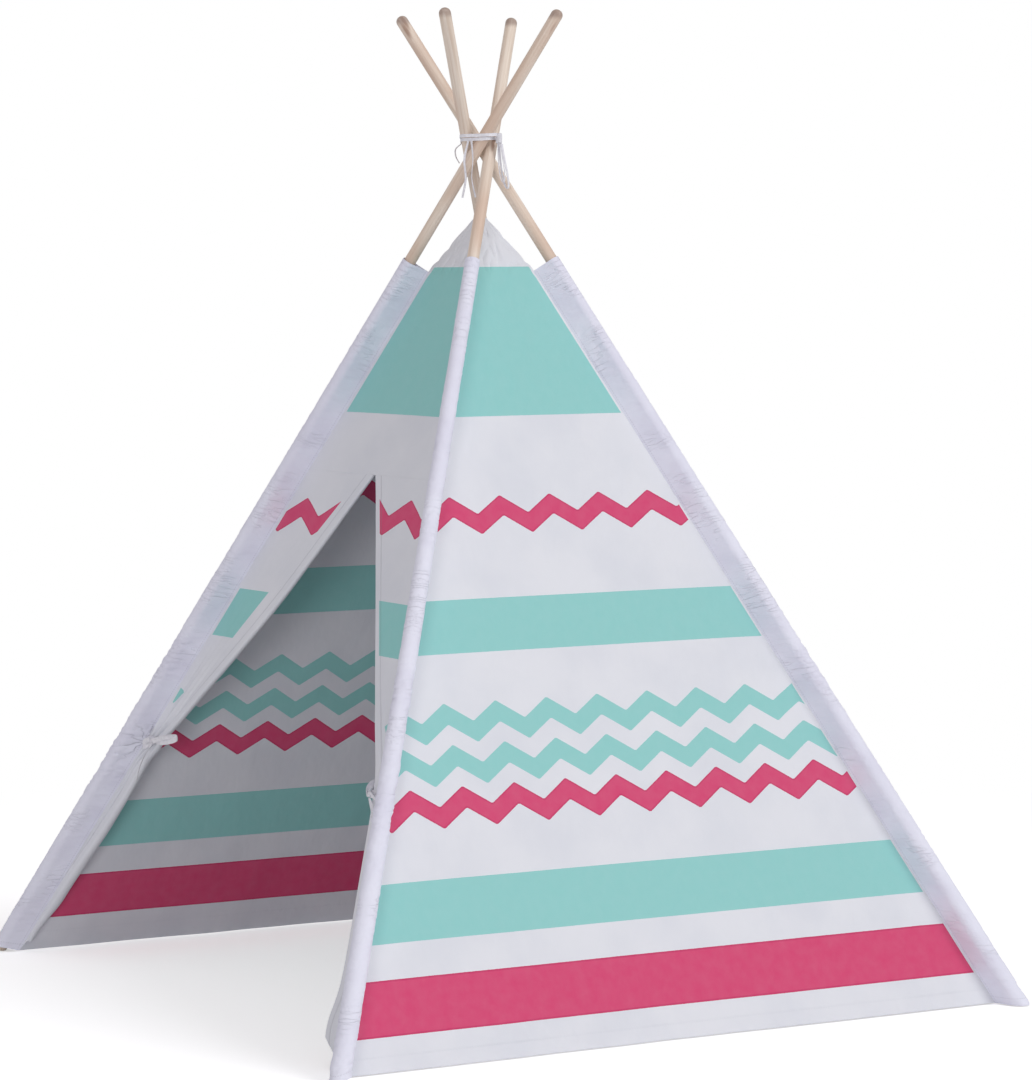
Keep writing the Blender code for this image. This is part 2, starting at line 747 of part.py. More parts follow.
def lashing_strands(wrap, bearing, crown):
    """Two loose ends of the tape, hanging from its lowest turn."""
    start, out, along = under_wrap(wrap, bearing)
    for label, side in (("a", -1), ("b", 1)):
        top = start + along * side * STRAND_SPACING / 2
        sway = along * side * STRAND_SWAY
        points = (
            top,
            top - UP * CORD_DIAMETER,
            top + sway + out * STRAND_LEAN - UP * STRAND_DROP / 3,
            top + sway / 2 + out * STRAND_LEAN - UP * STRAND_DROP * 2 / 3,
            top + sway * 2 + out * STRAND_LEAN - UP * STRAND_DROP,
        )
        route = smooth_route(points, 2 * CORD_DIAMETER)
        cord_object(f"lashing_strand_{label}", route, CORD_DIAMETER, TAPE, crown)


def lashing_tail(wrap, bearing, crown):
    """A short curled end of the tape beside the poles."""
    start, out, _ = under_wrap(wrap, bearing)
    points = (
        start,
        start - UP * CORD_DIAMETER,
        start + out * TAIL_SWING - UP * TAIL_DROP / 3,
        start + out * TAIL_SWING - UP * TAIL_DROP * 2 / 3,
        start + out * TAIL_SWING / 3 - UP * TAIL_DROP,
    )
    cord_object("lashing_tail", smooth_route(points, CORD_DIAMETER), CORD_DIAMETER, TAPE, crown)


def build():
    ground_half = HALF_WIDTH * 2
    cutters = new_collection("cutters")
    ground_mesh = bmesh.new()
    bmesh.ops.create_cube(ground_mesh, size=2 * ground_half)
    ground = bpy.data.objects.new("ground", mesh_from("ground", ground_mesh))
    ground.location = (0, 0, -ground_half)
    ground.hide_render = True
    ground.display_type = "WIRE"
    cutters.objects.link(ground)

    poles = [Pole(corner) for corner in CORNERS]
    bpy.context.view_layer.update()
    for pole in poles:
        pole_sections(pole, ground)
        sleeve(pole)
    front_left, front_right, rear_right, rear_left = poles
    cover_face("front_panel", Vector((0, -1, 0)), front_left, DOOR_TOP)
    cover_face("right_wall", Vector((1, 0, 0)), front_right)
    cover_face("rear_wall", Vector((0, 1, 0)), rear_right)
    cover_face("left_wall", Vector((-1, 0, 0)), rear_left)
    flap("left_door_flap", -1, front_left)
    flap("right_door_flap", 1, front_right)
    door_tie("left", -1, front_left)
    door_tie("right", 1, front_right)
    crown = bpy.data.objects.new("crown", None)
    crown.location = (0, 0, CROSSING_HEIGHT)
    TEEPEE.objects.link(crown)
    bpy.context.view_layer.update()
    frame = KnotFrame(poles, rear_right.bearing(KNOT_TURN_DEGREES))
    wrap = lashing_wrap(poles, frame, crown)
    lashing_bow(frame, crown)
    lashing_strands(wrap, front_right.bearing(STRAND_TURN_DEGREES), crown)
    lashing_tail(wrap, front_left.bearing(TAIL_TURN_DEGREES), crown)


clear_scene()
TEEPEE = new_collection("kids_teepee")
build()
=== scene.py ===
"""A kids teepee: four lashed pine poles, corner sleeves, a printed cotton cover and a tied-back door."""
from math import asin, atan2, cos, hypot, pi, radians, sin, tan

import bpy
import numpy as np
from mathutils import Matrix, Vector, noise


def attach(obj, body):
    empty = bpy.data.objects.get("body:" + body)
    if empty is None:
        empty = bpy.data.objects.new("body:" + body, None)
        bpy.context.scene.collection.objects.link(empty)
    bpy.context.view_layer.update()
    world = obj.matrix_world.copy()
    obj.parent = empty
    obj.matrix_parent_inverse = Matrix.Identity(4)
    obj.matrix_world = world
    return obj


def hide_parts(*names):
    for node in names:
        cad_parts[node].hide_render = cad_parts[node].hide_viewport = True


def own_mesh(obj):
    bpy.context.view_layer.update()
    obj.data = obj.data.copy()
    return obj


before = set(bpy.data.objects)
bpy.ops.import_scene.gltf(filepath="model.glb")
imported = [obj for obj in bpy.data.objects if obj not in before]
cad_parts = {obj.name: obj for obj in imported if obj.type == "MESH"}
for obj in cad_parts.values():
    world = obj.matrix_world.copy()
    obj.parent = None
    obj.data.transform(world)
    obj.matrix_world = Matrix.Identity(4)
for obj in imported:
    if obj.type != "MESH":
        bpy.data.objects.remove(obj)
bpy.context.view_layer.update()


# The camera stands to the right of the door, level with the top of the cover.
# A large soft lamp lights it from the right, a smaller one from beside the camera, and the room is white.
# Each lamp has its direction, its strength, its width and its tint.
CAMERA_PLACE = Vector((5.264, -2.826, 1.061))
CAMERA_AZIMUTH = radians(61.292)
CAMERA_ELEVATION = radians(3.794)
CAMERA_ROLL = radians(-0.434)
CAMERA_FOCAL_SHARE = 3967 / 1080
SENSOR_MM = 36.0
KEY_LAMP = (Vector((0.69, 0.40, 0.60)), 1.16, radians(32), (0.985, 1.0, 1.0))
FILL_LAMP = (Vector((0.75, -0.66, 0.12)), 0.56, radians(18), (1.0, 0.98, 1.0))
ROOM_STRENGTH = 0.480
WHITE = (1, 1, 1, 1)
ROOM_TINT = (1.0, 0.965, 0.985, 1.0)
UP = Vector((0, 0, 1))

heading = Matrix.Rotation(CAMERA_AZIMUTH, 4, "Z") @ Matrix.Rotation(pi / 2 - CAMERA_ELEVATION, 4, "X")
rolled = heading @ Matrix.Rotation(CAMERA_ROLL, 4, "Z")
bpy.ops.object.camera_add(location=CAMERA_PLACE)
camera = bpy.context.object
camera.matrix_world = Matrix.Translation(CAMERA_PLACE) @ rolled
camera.data.sensor_fit = "VERTICAL"
camera.data.sensor_height = SENSOR_MM
camera.data.lens = SENSOR_MM * CAMERA_FOCAL_SHARE
bpy.context.scene.camera = camera
bpy.context.scene.view_settings.view_transform = "Standard"

lamps = {"key_lamp": KEY_LAMP, "fill_lamp": FILL_LAMP}
for name, (direction, strength, softness, tint) in lamps.items():
    bpy.ops.object.light_add(type="SUN", rotation=direction.to_track_quat("Z", "Y").to_euler())
    lamp = bpy.context.object
    lamp.name = name
    lamp.data.energy = strength
    lamp.data.angle = softness
    lamp.data.color = tint


def math_method(operation, swapped=False):
    """A method that adds one Math node, and that can take its two values in swapped order."""

    def method(value, *others):
        values = (*others, value) if swapped else (value, *others)
        return value.finish.node("Math", dict(enumerate(values)), operation=operation)

    return method


class Value:
    """One shader value, which Python's operators turn into Math nodes."""

    __add__ = math_method("ADD")
    __radd__ = math_method("ADD", swapped=True)
    __sub__ = math_method("SUBTRACT")
    __rsub__ = math_method("SUBTRACT", swapped=True)
    __mul__ = math_method("MULTIPLY")
    __rmul__ = math_method("MULTIPLY", swapped=True)
    __truediv__ = math_method("DIVIDE")
    __lt__ = math_method("LESS_THAN")
    __gt__ = math_method("GREATER_THAN")
    __abs__ = math_method("ABSOLUTE")
    fract = math_method("FRACT")
    sine = math_method("SINE")
    bearing = math_method("ARCTAN2")
    lowest = math_method("MINIMUM")
    highest = math_method("MAXIMUM")

    def __init__(self, finish, socket):
        self.finish = finish
        self.socket = socket

    def soft(self, low, high):
        """0 below low and 1 above high, with a smooth step between."""
        values = {0: self, 1: low, 2: high}
        return self.finish.node("MapRange", values, interpolation_type="SMOOTHSTEP")


class Finish:
    """A node tree under the brush: node() adds any node and returns one of its outputs."""

    def __init__(self, owner):
        owner.use_nodes = True
        self.owner = owner
        self.tree = owner.node_tree
        self.tree.nodes.clear()

    def node(self, kind, values=None, output=0, **settings):
        made = self.tree.nodes.new("ShaderNode" + kind)
        for name, setting in settings.items():
            setattr(made, name, setting)
        for name, value in (values or {}).items():
            if isinstance(value, Value):
                self.tree.links.new(value.socket, made.inputs[name])
            else:
                made.inputs[name].default_value = value
        if not made.outputs:
            return None
        return Value(self, made.outputs[output])

    def mix(self, share, first, second):
        return self.node("Mix", {0: share, 6: first, 7: second}, 2, data_type="RGBA")

    def attribute(self, name, output="Fac"):
        return self.node("Attribute", None, output, attribute_name=name)

    def axis(self, vector, index):
        return self.node("SeparateXYZ", {0: vector}, index)

    def pattern(self):
        """The flat cloth's places, and their distances across and along it."""
        place = self.node("UVMap")
        return place, self.axis(place, 0), self.axis(place, 1)

    def place(self):
        return self.node("TexCoord", None, "Object")

    def ray(self, kind):
        return self.node("LightPath", None, f"Is {kind} Ray")

    def emission(self, strength):
        return self.node("Emission", {"Color": WHITE, "Strength": strength})

    def scaled(self, vector, scale):
        return self.node("VectorMath", {0: vector, 1: scale}, operation="MULTIPLY")

    def noise(self, vector, scale, detail=2.0):
        return self.node("TexNoise", {"Vector": vector, "Scale": scale, "Detail": detail})

    def tint(self, colour, *layers):
        """The colour, with each layer's own colour laid over it by the layer's share."""
        for share, over in layers:
            colour = self.mix(share, colour, over)
        return colour

    def bumps(self, *layers):
        """The normal of some layers of bumps, each with its height and how far it stands off."""
        under = {}
        for height, distance in layers:
            values = {"Height": height, "Distance": distance, "Strength": 1.0, **under}
            under = {"Normal": self.node("Bump", values)}
        return under["Normal"]

    def surface(self, colour, roughness, normal, others=None):
        values = {"Base Color": colour, "Roughness": roughness, "Normal": normal, **(others or {})}
        shader = self.node("BsdfPrincipled", values)
        self.node("OutputMaterial", {"Surface": shader})
        return self.owner


def material(name):
    return Finish(bpy.data.materials.new(name))


def srgb(red, green, blue):
    """A colour as seen on screen, from 0 to 255, as the shader wants it."""
    linear = []
    for part in (red, green, blue):
        share = part / 255
        linear.append(share / 12.92 if share <= 0.04045 else ((share + 0.055) / 1.055) ** 2.4)
    return (*linear, 1)


room = Finish(bpy.data.worlds.new("room"))
bpy.context.scene.world = room.owner
shown = room.ray("Camera").highest(room.ray("Glossy"))
room_strength = ROOM_STRENGTH + (1 - ROOM_STRENGTH) * shown
room_colour = room.mix(shown, ROOM_TINT, WHITE)
room_light = room.node("Background", {"Color": room_colour, "Strength": room_strength})
room.node("OutputWorld", {"Surface": room_light})


# The poles are turned pine, sanded and left bare, each in three sections with rounded outer ends.
# They cross at the lashing, each passing it to one side, and stand on their rounded feet.
HALF_WIDTH = 0.610
HALF_DEPTH = 0.550
CROSSING_HEIGHT = 1.250
CROSSING_OFFSET = 0.0165
POLE_RADIUS = 0.009
POLE_LENGTH = 1.740
FOOT_FLAT = 0.001
SECTION_GAP = 0.0004
POLE_SIDES = 48
END_ROUNDING = 0.0086
END_STEPS = 8
CUT_ROUNDING = 0.0004
TIP_COLOUR_HEIGHTS = (1.439, 1.449)
SMOOTH_TURNED = radians(40)
PINE_LIGHT = srgb(234, 221, 207)
PINE_MIDDLE = srgb(216, 198, 181)
PINE_WARM = srgb(211, 185, 166)
PINE_KNOT = srgb(140, 98, 74)
PINE_END = srgb(146, 124, 114)


class Corner:
    """One corner of the teepee: its pole's line, and the frame with local Z up the pole."""

    def __init__(self, name, side, depth):
        self.name = name
        self.side = side
        self.depth = depth
        self.foot = Vector((side * HALF_WIDTH, depth * HALF_DEPTH, 0))
        self.bearing = atan2(self.foot.y, self.foot.x)
        pivot = UP.cross(self.foot.normalized()) * CROSSING_OFFSET + UP * CROSSING_HEIGHT
        run = self.foot - pivot
        self.outward = Vector((run.x, run.y, 0)).normalized()
        self.hinge = UP.cross(self.outward)
        self.tilt = atan2(Vector((run.x, run.y)).length, CROSSING_HEIGHT)
        along = -run.normalized()
        inward = -self.outward * cos(self.tilt) - UP * sin(self.tilt)
        axes = Matrix((inward, along.cross(inward), along)).transposed().to_4x4()
        self.matrix = Matrix.Translation(pivot) @ axes

    def local(self, height):
        return (height - CROSSING_HEIGHT) / cos(self.tilt)

    def centre(self, height):
        return self.matrix @ Vector((0, 0, self.local(height)))


CORNERS = (
    Corner("front_left", -1, -1),
    Corner("front_right", 1, -1),
    Corner("rear_right", 1, 1),
    Corner("rear_left", -1, 1),
)


def deselect_all():
    bpy.ops.object.select_all(action="DESELECT")


def make_active(obj):
    deselect_all()
    obj.select_set(True)
    bpy.context.view_layer.objects.active = obj


def bevel_rim(obj, height, width, steps):
    """Rounds the rim of a turned piece at one height."""
    make_active(obj)
    for part in (*obj.data.polygons, *obj.data.vertices):
        part.select = False
    for edge in obj.data.edges:
        ends = [obj.data.vertices[index].co.z for index in edge.vertices]
        edge.select = all(abs(z - height) < FOOT_FLAT / 10 for z in ends)
    bpy.ops.object.mode_set(mode="EDIT")
    bpy.ops.mesh.select_mode(type="EDGE")
    bpy.ops.mesh.bevel(offset=width, segments=steps, affect="EDGES")
    bpy.ops.object.mode_set(mode="OBJECT")


def edit_all(obj, operation, **settings):
    """Runs one mesh operation on the whole of a piece."""
    make_active(obj)
    bpy.ops.object.mode_set(mode="EDIT")
    bpy.ops.mesh.select_all(action="SELECT")
    operation(**settings)
    bpy.ops.object.mode_set(mode="OBJECT")


def modify(obj, kind, **settings):
    """Adds a modifier to the active piece and applies it."""
    modifier = obj.modifiers.new(kind, kind)
    for name, setting in settings.items():
        setattr(modifier, name, setting)
    bpy.ops.object.modifier_apply(modifier=kind)


def turned_section(low, high, foot_width, foot_steps, top_width, top_steps):
    deselect_all()
    middle = (0, 0, (low + high) / 2)
    size = {"radius": POLE_RADIUS, "depth": high - low}
    bpy.ops.mesh.primitive_cylinder_add(vertices=POLE_SIDES, location=middle, **size)
    obj = bpy.context.object
    bpy.ops.object.transform_apply()
    bevel_rim(obj, low, foot_width, foot_steps)
    bevel_rim(obj, high, top_width, top_steps)
    bpy.ops.object.shade_smooth_by_angle(angle=SMOOTH_TURNED)
    return obj


def copied(obj, name):
    twin = obj.copy()
    twin.data = obj.data.copy()
    twin.name = name
    twin.data.name = name
    bpy.context.collection.objects.link(twin)
    return twin


def set_material(obj, surface):
    obj.data.materials.clear()
    obj.data.materials.append(surface)


def dress(piece, surface, node, body):
    """Gives a piece its material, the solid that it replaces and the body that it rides."""
    set_material(piece, surface)
    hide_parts(node)
    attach(piece, body)


pine = material("pine")
grain = pine.attribute("grain", "Vector")
tone = pine.noise(pine.scaled(grain, (14, 14, 5)), 1.0)
streak = pine.noise(pine.scaled(grain, (230, 230, 7)), 1.0, 3.0)
fibre = pine.noise(pine.scaled(grain, (700, 700, 16)), 1.0, 2.0)
spot = pine.node("TexVoronoi", {"Vector": pine.scaled(grain, (40, 40, 9)), "Scale": 1.0})
knot_mark = 1 - spot.soft(0.06, 0.20)
end_grain = pine.axis(pine.place(), 2).soft(*TIP_COLOUR_HEIGHTS)
pine_colour = pine.tint(
    PINE_LIGHT,
    (streak.soft(0.36, 0.66), PINE_MIDDLE),
    (tone.soft(0.42, 0.64) * 0.9, PINE_WARM),
    (fibre.soft(0.5, 0.85) * 0.12, PINE_KNOT),
    (knot_mark * 0.7, PINE_KNOT),
    (end_grain * (0.5 + streak * 0.5), PINE_END),
)
pine_normal = pine.bumps((streak * 0.85 + fibre * 0.15, 0.0002))
PINE = pine.surface(pine_colour, 0.55 + streak * 0.12, pine_normal)

pole_foot = CORNERS[0].local(POLE_RADIUS - FOOT_FLAT) - POLE_RADIUS
section_length = POLE_LENGTH / 3
section_ends = [pole_foot + section_length * count for count in range(4)]
rounded = (END_ROUNDING, END_STEPS)
cut = (CUT_ROUNDING, 2)
section_shapes = {"lower": (*rounded, *cut), "middle": (*cut, *cut), "upper": (*cut, *rounded)}
for index, (part, ends) in enumerate(section_shapes.items()):
    low = section_ends[index] + SECTION_GAP / 2
    high = section_ends[index + 1] - SECTION_GAP / 2
    master = turned_section(low, high, *ends)
    for turn, corner in enumerate(CORNERS):
        name = f"{corner.name}_pole_{part}"
        piece = copied(master, name + "_pine")
        local = np.empty(len(piece.data.vertices) * 3)
        piece.data.vertices.foreach_get("co", local)
        places = local.reshape(-1, 3) + (0, turn / 10, turn * 2 + index / 3)
        marks = piece.data.attributes.new("grain", "FLOAT_VECTOR", "POINT")
        marks.data.foreach_set("vector", places.ravel())
        piece.data.transform(corner.matrix)
        if part == "lower":
            cut_flat = {"plane_co": (0, 0, 0), "plane_no": (0, 0, 1), "use_fill": True, "clear_inner": True}
            edit_all(piece, bpy.ops.mesh.bisect, **cut_flat)
        dress(piece, PINE, name, corner.name)
    bpy.data.objects.remove(master)


# The ferrules are thin drawn steel tubes that join the sections, hidden under the sleeves.
# They are pressed on cold and stay bright, with fine lines along the tube.
steel = material("ferrule_steel")
drawn = steel.noise(steel.scaled(steel.place(), (600, 600, 60)), 1.0, 3.0)
steel_colour = steel.mix(drawn, srgb(176, 178, 182), srgb(206, 208, 212))
STEEL = steel.surface(steel_colour, 0.28 + drawn * 0.14, steel.bumps((drawn, 0.0001)), {"Metallic": 1.0})
for corner in CORNERS:
    for part in ("lower", "upper"):
        set_material(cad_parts[f"{corner.name}_{part}_ferrule"], STEEL)


# The cover is four faces of plain-woven cotton, printed with bands and zigzags before sewing.
# Each face is sewn to its neighbours at the corner ridges and hemmed at the floor.
# All four end in a loose white peak.
SEAM_INSET = 0.0335
HEM_HEIGHT = 0.006
WALL_HEM_HEIGHT = 0.002
SHOULDER_HEIGHT = 1.076
PEAK_HEIGHT = 1.160
PEAK_OPENING = 0.004
DOOR_TOP = 0.769
CLOTH = 0.0012
SEAM_CLEARANCE = 0.0002
SAG = 0.004
SEAM_EASE = 0.05
WAVE = 0.0022
WAVE_SIZE = 0.21
WAVE_BIAS = 0.6
CREASE = 0.0009
CREASE_SIZE = 0.06
CREASE_LEAN_SHARES = (0.35, 0.45, 0.3)
HEM_WAVE = 0.003
HEM_WAVE_SIZE = 0.09
HEM_WAVE_REACH = 0.06
PEAK_CRUMPLE = 0.0046
PEAK_ROW_SHARE = 0.18
PEAK_CRUMPLE_SIZE = 0.022
PEAK_FOLD_SIZE = 0.38
PEAK_FOLD_HEIGHT = 0.07
PEAK_EASE = 0.020
PEAK_LOOSENING = 0.03
PEAK_CORE = 0.05
PEAK_SHARPNESS = 7
SMOOTH_CLOTH = radians(55)
THREAD = 0.0007
STITCH_LINE = 0.0006
STITCHED_SHARE = 0.62
HEM_STITCH_HEIGHT = 0.021
HEM_FOLD_HEIGHT = 0.0225
CLOTH_SHINE = {"Sheen Weight": 0.03, "Specular IOR Level": 0.25}
MERGE_DISTANCE = 0.00001
FACE_COLUMNS = 150
FACE_ROWS = 190
TURNED_EDGE = 0.040
EDGE_OFFSET = 0.020
ZIGZAG_PITCH = 0.083
ZIGZAG_TOP = -0.0065
ZIGZAG_RISE = 0.012
ZIGZAG_STROKE = 0.0143
ZIGZAG_CUT = 0.93
FRONT_PITCH_SHARE = 0.083 / 0.1115
FRONT_TOP = 0.0402
COTTON_WHITE = srgb(226, 228, 234)
COTTON_SHADE = srgb(217, 220, 228)
# The painted shadow that a flap's rolled edge casts along its turned line.
TURNED_EDGE_SHADOW = srgb(150, 148, 162)
MINT = srgb(146, 206, 203)
PINK = srgb(212, 72, 116)
PINK_EDGE = srgb(199, 56, 103)
PINK_SPANS = ((0.045, 0.115),)
MINT_SPANS = ((0.160, 0.235), (0.530, 0.603), (0.858, 1.076))
PINK_ZIGZAGS = (0.3265, 0.7185)
MINT_ZIGZAGS = (0.3815, 0.4370)
LEFT_PRINT_RISE = 0.010

inset_share = 1 - SEAM_INSET / hypot(HALF_WIDTH, HALF_DEPTH)
COVER_WIDTH = HALF_WIDTH * inset_share
COVER_DEPTH = HALF_DEPTH * inset_share
COVER_APEX = CROSSING_HEIGHT * inset_share


def cover_share(height):
    """How wide the cover is at some heights, as a share of its width at the floor."""
    height = np.asarray(height, float)
    below = 1 - height / COVER_APEX
    shoulder = 1 - SHOULDER_HEIGHT / COVER_APEX
    above = shoulder * (PEAK_HEIGHT - height) / (PEAK_HEIGHT - SHOULDER_HEIGHT)
    return np.where(height <= SHOULDER_HEIGHT, below, above)


def cloth_noise(places, size, seed):
    """Smooth noise from -1 to 1 at each place, with waves about as long as size."""
    shift = Vector((seed * 7.31, seed * 3.17, seed * 5.93))
    return np.array([noise.noise(Vector(place) / size + shift) for place in places])


def ease(values):
    values = np.clip(values, 0, 1)
    return values * values * (3 - 2 * values)


def peak_at(place, reach, values):
    """1 at a place, and falling to 0 beyond its reach."""
    return np.exp(-(((values - place) / reach) ** 2))


def ridges(places, size, seed, sharpness):
    """Sharp ridges between smooth hollows, from 0 to 1."""
    return (1 - np.abs(cloth_noise(places, size, seed))) ** sharpness


def flat_places(across, along):
    return np.stack([across, along, np.zeros_like(along)], 1)


def run_along(line):
    """How far each point of a line is from its start, along the line."""
    return np.concatenate([[0], np.cumsum(np.linalg.norm(np.diff(line, axis=0), axis=1))])


class Face:
    """One face of the cover: the way it faces, and its half widths at the floor."""

    def __init__(self, facing, half, away, seed):
        self.facing = np.array(facing, float)
        self.side = np.array(UP.cross(Vector(facing)))
        self.half = half
        self.away = away
        self.seed = seed
        self.slope = atan2(away, COVER_APEX)
        self.normal = self.facing * cos(self.slope) + np.array(UP) * sin(self.slope)

    def places(self, across, height, inside):
        """Points by distance from the middle, height, and depth behind the flat face."""
        out = self.away * cover_share(height) - inside / cos(self.slope)
        lift = np.array(UP)[None] * height[:, None]
        return self.side[None] * across[:, None] + self.facing[None] * out[:, None] + lift

    def dent(self, across, height):
        """How far the cloth hangs behind the flat face between its seams."""
        half = np.maximum(self.half * cover_share(height), PEAK_OPENING)
        edge = half - np.abs(across)
        pinned = ease(edge / np.minimum(half, SEAM_EASE))
        rise = pi * np.clip(height / SHOULDER_HEIGHT, 0, 1)
        belly = (1 - np.clip(np.abs(across) / half, 0, 1) ** 2) * np.sin(rise)
        flat = flat_places(across, height)
        over, up, aside = CREASE_LEAN_SHARES
        lean = flat_places(across + height * over, height * up - across * aside)
        wave = cloth_noise(flat, WAVE_SIZE, self.seed)
        crease = np.abs(cloth_noise(lean, CREASE_SIZE, self.seed + 1))
        hem = np.exp(-height / HEM_WAVE_REACH) * cloth_noise(flat, HEM_WAVE_SIZE, self.seed + 2) * HEM_WAVE
        fall = ease((SHOULDER_HEIGHT + PEAK_EASE - height) / (2 * PEAK_EASE))
        return SAG * belly + pinned * fall * (WAVE * (wave + WAVE_BIAS) + CREASE * crease + hem)


def crumple(places):
    """Loose crumples of the peak, the same for all faces, so that their edges stay together."""
    height = places[:, 2]
    loose = ease((height - SHOULDER_HEIGHT + PEAK_EASE) / PEAK_LOOSENING)
    radial = places * (1, 1, 0)
    from_axis = np.linalg.norm(radial, axis=1)
    radial = radial / np.maximum(from_axis, PEAK_OPENING)[:, None]
    folds = cloth_noise(places * (1, 1, 0.5), PEAK_CRUMPLE_SIZE, 21)
    round_peak = np.stack([radial[:, 0], radial[:, 1], height / PEAK_FOLD_HEIGHT], 1)
    sharp = ridges(round_peak, PEAK_FOLD_SIZE, 22, PEAK_SHARPNESS)
    moved = PEAK_CRUMPLE * (folds * 0.25 - sharp) * np.clip(from_axis / PEAK_CORE, 0, 1)
    return places + radial * (moved * loose)[:, None]


def line_at(line, run, at):
    """The two values of a line at some distances along it."""
    return np.array([np.interp(at, run, line[:, 0]), np.interp(at, run, line[:, 1])])


def cloth_grid(name, columns, rows):
    """A new square grid of cloth, with where each point is across and along it, from 0 to 1."""
    deselect_all()
    bpy.ops.mesh.primitive_grid_add(x_subdivisions=columns, y_subdivisions=rows, size=1)
    obj = bpy.context.object
    obj.name = name
    obj.data.name = name
    flat = np.empty(len(obj.data.vertices) * 3)
    obj.data.vertices.foreach_get("co", flat)
    flat = flat.reshape(-1, 3)
    return obj, flat[:, 0] + 0.5, flat[:, 1] + 0.5


def grid_rows(up_share, rows):
    """The grid's rows from the first to the last, each as the points that lie in it."""
    numbers = np.round(up_share * rows).astype(int)
    return [np.flatnonzero(numbers == number) for number in range(rows + 1)]


def shape_cloth(obj, places, pattern, thickness, marks=None, closed=False):
    """Moves the grid's points, lays the pattern on it, and gives it the thickness of the cloth."""
    mesh = obj.data
    mesh.vertices.foreach_set("co", np.ascontiguousarray(places, float).ravel())
    corners = np.empty(len(mesh.loops), int)
    mesh.loops.foreach_get("vertex_index", corners)
    mesh.uv_layers[0].data.foreach_set("uv", pattern[corners].ravel())
    for name, values in (marks or {}).items():
        mesh.attributes.new(name, "FLOAT", "POINT").data.foreach_set("value", values)
    mesh.update()
    make_active(obj)
    if closed:
        edit_all(obj, bpy.ops.mesh.remove_doubles, threshold=MERGE_DISTANCE)
    modify(obj, "SOLIDIFY", thickness=thickness, offset=0)
    bpy.ops.object.shade_smooth_by_angle(angle=SMOOTH_CLOTH)


def weave(across, along):
    """Height of a plain weave."""
    turn = pi / THREAD
    return (across * turn).sine() * (along * turn).sine() * 0.5 + 0.5


def stitches(across, along, place, length):
    """A row of stitches along one line of the cloth."""
    line = abs(across - place) < STITCH_LINE
    return line * ((along / length).fract() < STITCHED_SHARE)


def ink_depth(along, zigzag, spans, middles):
    """How far inside one colour's bands and zigzags each place lies, and below 0 outside them."""
    depths = [(high - low) / 2 - abs(along - (low + high) / 2) for low, high in spans]
    depths += [ZIGZAG_STROKE - abs(along - middle - zigzag) for middle in middles]
    deepest = depths[0]
    for depth in depths[1:]:
        deepest = deepest.highest(depth)
    return deepest


def printed_cotton():
    """White cotton, printed in pink and mint, stitched at the hem, and creased at a turned edge, with a
    painted shadow of the rolled edge along the crease.
    """
    finish = material("printed_cotton")
    place, across, along = finish.pattern()
    printed = finish.attribute("inked") > 0
    # The line along a flap's turned edge: a crease in the bumps, and a painted shadow of the rolled edge in
    # the colour.
    turned_crease_and_shadow = 1 - abs(finish.attribute("turned") - TURNED_EDGE).soft(0.0004, 0.0022)
    ragged = (finish.noise(place, 420.0) - 0.5) * 0.0006
    fold = abs(((across - ZIGZAG_TOP) / ZIGZAG_PITCH + 100).fract() - 0.5) * 4 - 1
    zigzag = fold.lowest(ZIGZAG_CUT).highest(-ZIGZAG_CUT) * (ZIGZAG_RISE / ZIGZAG_CUT)
    pink_depth = ink_depth(along, zigzag, PINK_SPANS, PINK_ZIGZAGS)
    mint_depth = ink_depth(along, zigzag, MINT_SPANS, MINT_ZIGZAGS)
    pink = (pink_depth + ragged > 0) * printed
    mint = (mint_depth + ragged > 0) * printed
    hem_fold = abs(along - HEM_FOLD_HEIGHT) < 0.0004
    hem = stitches(along, across, HEM_STITCH_HEIGHT, 0.0042) + hem_fold * 0.5
    cloudy = finish.noise(place, 9.0, 3.0).soft(0.35, 0.7)
    creases = finish.noise(finish.scaled(place, (1.0, 0.7, 1.0)), 22.0, 3.0)
    colour = finish.tint(
        COTTON_WHITE,
        (cloudy * 0.7 + hem * 0.3, COTTON_SHADE),
        (mint, MINT),
        (pink, finish.mix(pink_depth.soft(0.0012, 0.0032), PINK_EDGE, PINK)),
        ((finish.noise(place, 60.0, 3.0) - 0.5) * 0.08 + 0.02, COTTON_WHITE),
        # Painted shadow of the rolled edge along the turned line.
        (turned_crease_and_shadow * 0.2, TURNED_EDGE_SHADOW),
    )
    threads = (weave(across, along) + hem, 0.00012)
    normal = finish.bumps((creases, 0.0026), (1 - turned_crease_and_shadow, 0.0006), threads)
    return finish.surface(colour, 0.86 - (pink + mint) * 0.08, normal, CLOTH_SHINE)


COTTON = printed_cotton()
FRONT = Face((0, -1, 0), COVER_WIDTH, COVER_DEPTH, 1)
RIGHT = Face((1, 0, 0), COVER_DEPTH, COVER_WIDTH, 2)
REAR = Face((0, 1, 0), COVER_WIDTH, COVER_DEPTH, 3)
LEFT = Face((-1, 0, 0), COVER_DEPTH, COVER_WIDTH, 4)


def front_pattern(x):
    """Where the print's zigzag is along the wide faces, which have a longer pitch."""
    return (x - FRONT_TOP) * FRONT_PITCH_SHARE + ZIGZAG_TOP


def fold_cloth(obj):
    """Gives a cloth piece its own copy of its mesh."""
    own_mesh(obj)


